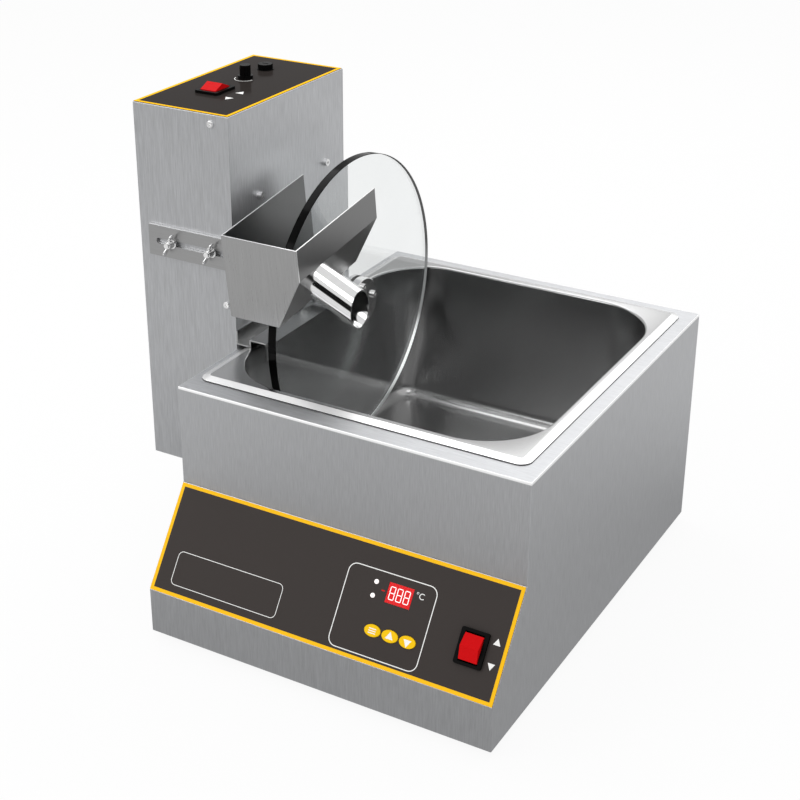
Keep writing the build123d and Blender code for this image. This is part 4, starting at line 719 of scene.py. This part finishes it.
class MELTER_OT_display(bpy.types.Operator):
    """The red display window, its digits and the status lamps"""

    bl_idname = "melter.display"
    bl_label = "Display and lamps"

    def execute(self, context):
        colours, sizes, _ = settings()
        # Dyed acrylic: glossy, lit from behind
        dress(
            ["display_window"], "Red acrylic", colours.window, roughness=0.15, grain_mm=6,
            vary=(0.03, 0.03, 0.02), specular=0.1,
            **{"Emission Color": (*colours.window, 1), "Emission Strength": 0.25},
        )
        # Frosted lens over a lamp: a soft, even white
        dress(
            ["status_lamps"], "Diffusing lens", linear("#fff4f2"), roughness=0.25, grain_mm=2,
            vary=(0.02, 0.04, 0.05), **{"Emission Color": (1, 0.95, 0.94, 1), "Emission Strength": 0.4},
        )
        # Light guides that glow a clean white
        lit = grained(
            "Lit segments", colours.ink, roughness=0.3, grain_mm=2, vary=(0.01, 0.03, 0.02),
            **{"Emission Color": (1, 1, 1, 1), "Emission Strength": 0.5},
        )
        digits = bmesh.new()
        centre = on_face(console_place, "display_window")
        for step in (-1, 0, 1):
            self.add_digit(digits, centre.x + step * sizes.digit_pitch, centre.y, sizes)
        new_print("display_digits", digits, console_place, "melter", "display_red", lit)
        return {"FINISHED"}

    def add_digit(self, shape, x, y, sizes):
        """Seven bars that light as an eight."""
        gap = 0.25 * MM
        reach = sizes.digit_width - sizes.digit_stroke
        half = (sizes.digit_height - sizes.digit_stroke) / 2
        for row in (-1, 0, 1):
            add_plate(shape, reach - 2 * gap, sizes.digit_stroke, x, y + row * half)
        for side in (-1, 1):
            for row in (-1, 1):
                add_plate(shape, sizes.digit_stroke, half - 2 * gap, x + side * reach / 2, y + row * half / 2)


class MELTER_OT_buttons(bpy.types.Operator):
    """The three oval buttons and their marks"""

    bl_idname = "melter.buttons"
    bl_label = "Console buttons"

    def execute(self, context):
        colours = settings()[0]
        names = ("set_button", "up_button", "down_button")
        # Moulded silicone keys: satin, evenly coloured through
        dress(
            names, "Yellow silicone", colours.button, roughness=0.4, grain_mm=1.2, vary=(0.03, 0.06, 0.08),
            specular=0.1,
        )
        # Ink on the keys: as matt as the console's, but with its natural sheen
        white = screen_ink("White key print", colours.ink, specular=0.5)
        key_height = 1.1 * MM
        key_tops = Matrix.Translation(console_out * key_height) @ console_place
        bar_width, bar_height, bar_pitch = 7.0 * MM, 0.8 * MM, 1.9 * MM
        triangle = 7.4 * MM
        for name in names:
            mark = bmesh.new()
            centre = on_face(console_place, name)
            if name == "set_button":
                for row in (-1, 0, 1):
                    add_plate(mark, bar_width, bar_height, centre.x, centre.y + row * bar_pitch)
            else:
                add_triangle(mark, triangle, centre.x, centre.y, turn=0 if name == "up_button" else 180)
            new_print(f"{name}_mark", mark, key_tops, name, "button_yellow", white)
        return {"FINISHED"}


class MELTER_OT_switches(bpy.types.Operator):
    """Both rocker switches, with the inlets and the fuse holder of the same black"""

    bl_idname = "melter.switches"
    bl_label = "Rocker switches"

    def execute(self, context):
        colours = settings()[0]
        # Moulded polycarbonate: a deep even red with a soft gloss
        dress(
            ["melter_rocker", "tower_rocker"], "Red polycarbonate", colours.rocker, roughness=0.3, grain_mm=2,
            vary=(0.02, 0.05, 0.03), specular=0.03,
        )
        # Moulded polyamide: black, dulled by the fine texture of its mould
        dress(
            ["melter_switch_frame", "tower_switch_frame", "melter_inlet", "tower_inlet", "fuse_holder"],
            "Black polyamide", colours.black, roughness=0.42, grain_mm=0.8, vary=(0.1, 0.08, 0.1),
            specular=0.05,
        )
        return {"FINISHED"}


class MELTER_OT_tower_top(bpy.types.Operator):
    """The tower's overlay, its print, the speed knob and the fuse cap"""

    bl_idname = "melter.tower_top"
    bl_label = "Tower top"

    def execute(self, context):
        colours, sizes, _ = settings()
        # Gloss film: the knob and the cap mirror in it; it is the console's film painted darker, a painted
        # shade against the light from above
        dress(
            ["tower_overlay"], "Gloss polyester", shade(colours.overlay, 0.6), roughness=0.14, grain_mm=0.9,
            vary=(0.03, 0.03, 0.02), specular=0.006,
        )
        # Inks under the same gloss, so that they hardly catch the light
        yellow = screen_ink("Yellow lid ink", colours.border, roughness=0.35, spread=0.03, specular=0.006)
        white = screen_ink("White lid ink", colours.ink, roughness=0.4, specular=0.006)
        new_border(
            "tower_border", lid_high.x - lid_low.x, lid_high.y - lid_low.y, 0, lid_place, "mixer", yellow
        )
        marks = bmesh.new()
        switch = on_face(lid_place, "tower_switch_frame")
        triangle, beside, below, reach = 1.3 * sizes.triangle, 25.5 * MM, 5.5 * MM, 10 * MM
        add_arrows(marks, triangle, switch.x + beside, switch.y - below, reach)
        self.add_dial(marks, on_face(lid_place, "speed_knob"))
        new_print("tower_marks", marks, lid_place, "mixer", "overlay_film", white)
        # Moulded phenolic: black and smoother than the switch frames
        dress(
            ["speed_knob", "fuse_cap"], "Black phenolic", colours.black, roughness=0.3, grain_mm=1,
            vary=(0.1, 0.08, 0.08), specular=0.05,
        )
        return {"FINISHED"}

    def add_dial(self, shape, knob):
        """A ring round the knob, a little towards the front and open towards the back."""
        radius, width, forward, steps = 9.2 * MM, 0.8 * MM, 1.2 * MM, 40
        spread = math.radians(170)
        centre = Vector((knob.x, knob.y - forward, 0))
        ends = [shape.verts.new(centre + Vector((r, 0, 0))) for r in (radius, radius + width)]
        edge = shape.edges.new(ends)
        start = Matrix.Rotation(-math.pi / 2 - spread / 2, 3, "Z")
        bmesh.ops.rotate(shape, verts=ends, cent=centre, matrix=start)
        bmesh.ops.spin(
            shape, geom=[edge, *ends], cent=centre, axis=(0, 0, 1), dvec=(0, 0, 0), angle=spread, steps=steps,
            use_merge=False, use_duplicate=False,
        )


class MELTER_OT_clamp(bpy.types.Operator):
    """The wing nuts and their studs"""

    bl_idname = "melter.clamp"
    bl_label = "Arm clamp"

    def execute(self, context):
        colours = settings()[0]
        # Cast and tumbled stainless: bright on its rounded edges
        cast = dress(
            ["clamp_studs"], "Tumbled stainless", colours.polished, metallic=1.0, roughness=0.16, grain_mm=4,
            vary=(0.03, 0.03, 0.03),
        )
        for name in ("left_wing_nut", "right_wing_nut"):
            new_piece(
                f"{name}_cast", self.wing_nut(name), name, "polished_steel", cast, replaced=(name,), angle=50
            )
        return {"FINISHED"}

    def wing_nut(self, name):
        """A turned hub with two rounded wings, its axis out of the tower's front."""
        wing_angle, easing, steps = math.radians(65), 0.35 * MM, 48
        centre = middle(name)
        along = Vector((math.cos(wing_angle), 0, math.sin(wing_angle)))
        out = Vector((0, -1, 0))
        turn = Matrix((along, out.cross(along), out)).transposed().to_4x4()
        place = Matrix.Translation((centre.x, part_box(name)[1].y, centre.z)) @ turn
        shape = bmesh.new()
        # The hub's corners from bore to bore: radius and height in millimetres
        profile = [shape.verts.new((r * MM, 0, z * MM)) for r, z in (
            (2.6, 0), (5.2, 0), (5.2, 1.0), (4.1, 1.0), (3.3, 7.0), (2.6, 7.0)
        )]
        for first, second in zip(profile, profile[1:]):
            shape.edges.new((first, second))
        ease(shape, [profile[i] for i in (1, 2, 4)], easing)
        turn_profile(shape, (0, 0, 1), steps)
        for side in (-1, 1):
            wing = self.wing(side)
            mesh = bpy.data.meshes.new("wing_source")
            wing.to_mesh(mesh)
            wing.free()
            shape.from_mesh(mesh)
            bpy.data.meshes.remove(mesh)
        turn_out(shape)
        bmesh.ops.transform(shape, matrix=place, verts=shape.verts[:])
        return shape

    def wing(self, side):
        """A plate with round ends that widens outwards, all its edges eased."""
        sheet, easing = 1.8 * MM, 0.6 * MM
        shape = bmesh.new()
        # Its two round ends: how far out, how far up and their radius in millimetres
        for reach, rise, radius in ((9.0, 5.4, 3.2), (3.2, 3.2, 2.0)):
            place = Matrix.Translation((side * reach * MM, 0, rise * MM))
            bmesh.ops.create_cone(
                shape, segments=32, radius1=radius * MM, radius2=radius * MM, depth=sheet,
                matrix=place @ Matrix.Rotation(math.pi / 2, 4, "X"),
            )
        bmesh.ops.delete(shape, geom=shape.faces[:], context="FACES_ONLY")
        bmesh.ops.convex_hull(shape, input=shape.verts[:])
        inner = [v for v in shape.verts if not v.link_faces]
        bmesh.ops.delete(shape, geom=inner, context="VERTS")
        bmesh.ops.dissolve_limit(
            shape, angle_limit=math.radians(1), verts=shape.verts[:], edges=shape.edges[:]
        )
        sharp_radians = 1.0
        corners = [e for e in shape.edges if len(e.link_faces) == 2 and e.calc_face_angle() > sharp_radians]
        ease(shape, corners, easing, segments=4, affect="EDGES")
        return shape


class MELTER_OT_fasteners(bpy.types.Operator):
    """All screws"""

    bl_idname = "melter.fasteners"
    bl_label = "Screws"

    def execute(self, context):
        # Cold-headed and passivated screws: nearly white, with a soft gloss
        screws = [f"{place}_screws" for place in (
            "foot", "base", "melter_inlet", "tower_inlet", "cover", "motor"
        )]
        dress(
            screws, "Bright screw steel", linear("#fcfcfc"), metallic=1.0, roughness=0.36, grain_mm=1.5,
            vary=(0.03, 0.05, 0.05),
        )
        return {"FINISHED"}


class MELTER_OT_rubber(bpy.types.Operator):
    """Rubber feet and buffers"""

    bl_idname = "melter.rubber"
    bl_label = "Feet and buffers"

    def execute(self, context):
        # Moulded rubber: a dull dark grey with a fine bloom
        dress(
            ["feet", "tower_buffers"], "Moulded rubber", linear("#1c1c1c"), roughness=0.75, grain_mm=1,
            vary=(0.12, 0.1, 0.2),
        )
        return {"FINISHED"}


class MELTER_OT_insides(bpy.types.Operator):
    """What the casing and the tower hold inside"""

    bl_idname = "melter.insides"
    bl_label = "Inner pieces"

    def execute(self, context):
        # Sand cast: a dull grey skin, lightly pitted
        dress(
            ["heating_well", "motor_plate"], "Cast aluminium", linear("#b9babc"), metallic=1.0,
            roughness=0.45, grain_mm=2, vary=(0.06, 0.08, 0.3),
        )
        # Pressed against a cloth: brick red and matt
        dress(
            ["heater_pads"], "Heater silicone", linear("#b5532d"), roughness=0.6, grain_mm=3,
            vary=(0.06, 0.08, 0.2),
        )
        # Bonded fibres: straw coloured and tufted, with no gloss at all
        dress(
            ["insulation"], "Mineral wool", linear("#d8ca9a"), roughness=0.95, grain_mm=4, depth_mm=1.0,
            vary=(0.2, 0.04, 0.8),
        )
        # Cut on a lathe: a warm yellow with fine tool marks
        dress(
            ["temperature_sensor", "potentiometer"], "Turned brass", linear("#c9a75b"), metallic=1.0,
            roughness=0.3, grain_mm=1, vary=(0.05, 0.08, 0.1),
        )
        # Moulded with a filler: dark brown, slightly flecked
        dress(
            ["thermal_cutout"], "Phenolic resin", linear("#2a211d"), roughness=0.5, grain_mm=1,
            vary=(0.1, 0.08, 0.1),
        )
        # Glass cloth under a green lacquer: glossy, its weave just showing
        dress(
            ["controller_board", "speed_board"], "Lacquered board", linear("#1f6b3a"), roughness=0.35,
            grain_mm=1.2, vary=(0.15, 0.08, 0.1),
        )
        # Moulded undyed: milky and satin
        dress(
            ["board_pillars", "speed_board_pillars"], "Natural nylon", linear("#e6e3d8"), roughness=0.5,
            grain_mm=2, vary=(0.03, 0.06, 0.1),
        )
        # Sprayed enamel: mid grey with a slight orange peel
        dress(
            ["gear_motor"], "Grey motor enamel", linear("#5a5f63"), roughness=0.4, grain_mm=2,
            vary=(0.05, 0.08, 0.15),
        )
        return {"FINISHED"}


class MELTER_OT_stage(bpy.types.Operator):
    """Pale floor, soft light and the camera"""

    bl_idname = "melter.stage"
    bl_label = "Stage"

    def execute(self, context):
        stage = settings()[2]
        context.scene.view_settings.view_transform = "Standard"
        self.floor(stage)
        self.world(stage)
        self.lamps()
        self.dark_card()
        self.camera(context.scene)
        return {"FINISHED"}

    def rays(self, tree):
        """Whether a ray comes from the camera or through glass, and whether it comes from a mirror."""
        path = node(tree, "LightPath").outputs
        through = path["Is Transmission Ray"]
        straight = node(tree, "Math", {0: path["Is Camera Ray"], 1: through}, operation="MAXIMUM")
        # A ray through glass counts as glossy as well
        mirrored = node(tree, "Math", {
            0: path["Is Glossy Ray"], 1: through
        }, operation="SUBTRACT", use_clamp=True)
        return straight, mirrored

    def new_sheet(self, name, width, height, place, material):
        """A flat sheet that belongs to the stage."""
        shape = bmesh.new()
        add_plate(shape, width, height, 0, 0)
        bmesh.ops.transform(shape, matrix=place, verts=shape.verts[:])
        sheet = new_mesh(name, shape, material)
        return sheet

    def floor(self, stage):
        """A white floor that keeps a soft shadow; mirrors show it with a painted shadow at the machine and
        painted dimming far off.
        """
        material, tree = blank_material("Pale floor")
        straight, mirrored = self.rays(tree)
        # Distances from the machine's middle in metres, and the floor's strength in mirrors there: a painted
        # shadow at the machine, and painted dimming far off
        at_machine = {"From Min": 0.33, "From Max": 0.62, "To Min": 0.47, "To Max": 0.82}
        far_off = {"From Min": 1.8, "From Max": 3.0, "To Min": 1.0, "To Max": 0.15}
        painted, glowing = 0.8, 0.92
        place = node(tree, "TexCoord").outputs["Object"]
        away = node(tree, "VectorMath", {0: place, 1: melter_base}, operation="DISTANCE")
        painted_floor_shade = node(tree, "MapRange", {"Value": away, **at_machine})
        fade = node(tree, "MapRange", {"Value": away, **far_off})
        painted_floor_shade = node(tree, "Math", {0: painted_floor_shade, 1: fade}, operation="MULTIPLY")
        strength = node(tree, "MapRange", {"Value": mirrored, "To Min": 1.0, "To Max": painted_floor_shade})
        matt = node(tree, "BsdfDiffuse", {"Color": shade(stage.floor, painted)})
        glow = node(tree, "Emission", {"Color": (*stage.floor, 1), "Strength": strength})
        share = node(tree, "Math", {0: straight, 1: glowing}, operation="MULTIPLY")
        share = node(tree, "Math", {0: share, 1: mirrored}, operation="MAXIMUM")
        mixed = node(tree, "MixShader", {0: share, 1: matt, 2: glow})
        node(tree, "OutputMaterial", {"Surface": mixed})
        self.new_sheet("floor", stage.floor_size, stage.floor_size, Matrix(), material)

    def world(self, stage):
        """White where it is seen, a little less in mirrors, and a soft fill elsewhere."""
        world = bpy.data.worlds.new("studio")
        bpy.context.scene.world = world
        world.use_nodes = True
        tree = world.node_tree
        tree.nodes.clear()
        straight, mirrored = self.rays(tree)
        strength = node(tree, "MapRange", {
            "Value": mirrored, "To Min": stage.fill, "To Max": stage.mirrored
        })
        strength = node(tree, "MapRange", {"Value": straight, "To Min": strength, "To Max": 1.0})
        sky = node(tree, "Background", {"Color": (1, 1, 1, 1), "Strength": strength})
        node(tree, "OutputWorld", {"Surface": sky})

    def lamps(self):
        """Softboxes above, behind and in front, all turned to the machine."""
        target = melter_base + Vector((-0.03, 0, 0.2))
        for name, place, size, power in (
            ("overhead softbox", (-0.9, 0.46, 1.9), 1.2, 9),
            ("back softbox", (-0.1, 1.5, 1.6), 1.3, 8),
            ("front softbox", (-1.2, -1.6, 1.5), 1.2, 10),
            ("high front softbox", (0.45, -1.11, 1.77), 0.7, 4),
        ):
            light = bpy.data.lights.new(name, "AREA")
            light.shape = "SQUARE"
            light.size = size
            light.energy = power
            lamp = new_object(name, light)
            lamp.location = melter_base + Vector(place)
            lamp.rotation_euler = (target - lamp.location).to_track_quat("-Z", "Y").to_euler()

    def dark_card(self):
        """A dark card in front, which only mirrors show."""
        # Black felt: it throws hardly any light back
        material, tree = blank_material("Black felt")
        felt = node(tree, "BsdfDiffuse", {"Color": (0.01, 0.01, 0.01, 1)})
        node(tree, "OutputMaterial", {"Surface": felt})
        width, height, stand = 4.0, 1.1, melter_base + Vector((0.6, -2.2, 0.55))
        place = Matrix.Translation(stand) @ Matrix.Rotation(math.pi / 2, 4, "X")
        card = self.new_sheet("dark_card", width, height, place, material)
        card.visible_camera = card.visible_diffuse = card.visible_transmission = card.visible_shadow = False

    def camera(self, scene):
        """The photograph's place, angle and framing."""
        image_side = 800
        focal_px, centre_px = 1581.87, (379.50, 339.50)
        yaw, pitch = math.radians(30.08), math.radians(24.44)
        data = bpy.data.cameras.new("camera")
        data.sensor_width = 36
        data.lens = focal_px * data.sensor_width / image_side
        data.shift_x = 0.5 - centre_px[0] / image_side
        data.shift_y = centre_px[1] / image_side - 0.5
        camera = new_object("camera", data)
        camera.location = melter_base + Vector((613.55, -1164.57, 849.73)) * MM
        camera.rotation_euler = (math.pi / 2 - pitch, 0, yaw)
        scene.camera = camera


PIECES = (
    MELTER_OT_sheet, MELTER_OT_pan, MELTER_OT_chute, MELTER_OT_wheel, MELTER_OT_console, MELTER_OT_display,
    MELTER_OT_buttons, MELTER_OT_switches, MELTER_OT_tower_top, MELTER_OT_clamp, MELTER_OT_fasteners,
    MELTER_OT_rubber, MELTER_OT_insides, MELTER_OT_stage,
)


class MELTER_PT_panel(bpy.types.Panel):
    """Lists the machine's pieces, colours and sizes"""

    bl_label = "Chocolate melting machine"
    bl_idname = "MELTER_PT_panel"
    bl_space_type = "VIEW_3D"
    bl_region_type = "UI"
    bl_category = "Melter"

    def draw(self, context):
        for group in settings():
            for name in group.bl_rna.properties.keys():
                if name not in ("rna_type", "name"):
                    self.layout.prop(group, name)
        for piece in PIECES:
            self.layout.operator(piece.bl_idname)


CLASSES = (MelterColours, MelterSizes, MelterStage, *PIECES, MELTER_PT_panel)


def register():
    for cls in CLASSES:
        bpy.utils.register_class(cls)
    bpy.types.Scene.melter_colours = bpy.props.PointerProperty(type=MelterColours)
    bpy.types.Scene.melter_sizes = bpy.props.PointerProperty(type=MelterSizes)
    bpy.types.Scene.melter_stage = bpy.props.PointerProperty(type=MelterStage)


def unregister():
    del bpy.types.Scene.melter_stage
    del bpy.types.Scene.melter_sizes
    del bpy.types.Scene.melter_colours
    for cls in reversed(CLASSES):
        bpy.utils.unregister_class(cls)


def main():
    register()
    for piece in PIECES:
        family, name = piece.bl_idname.split(".")
        getattr(getattr(bpy.ops, family), name)()


if __name__ == "__main__":
    main()
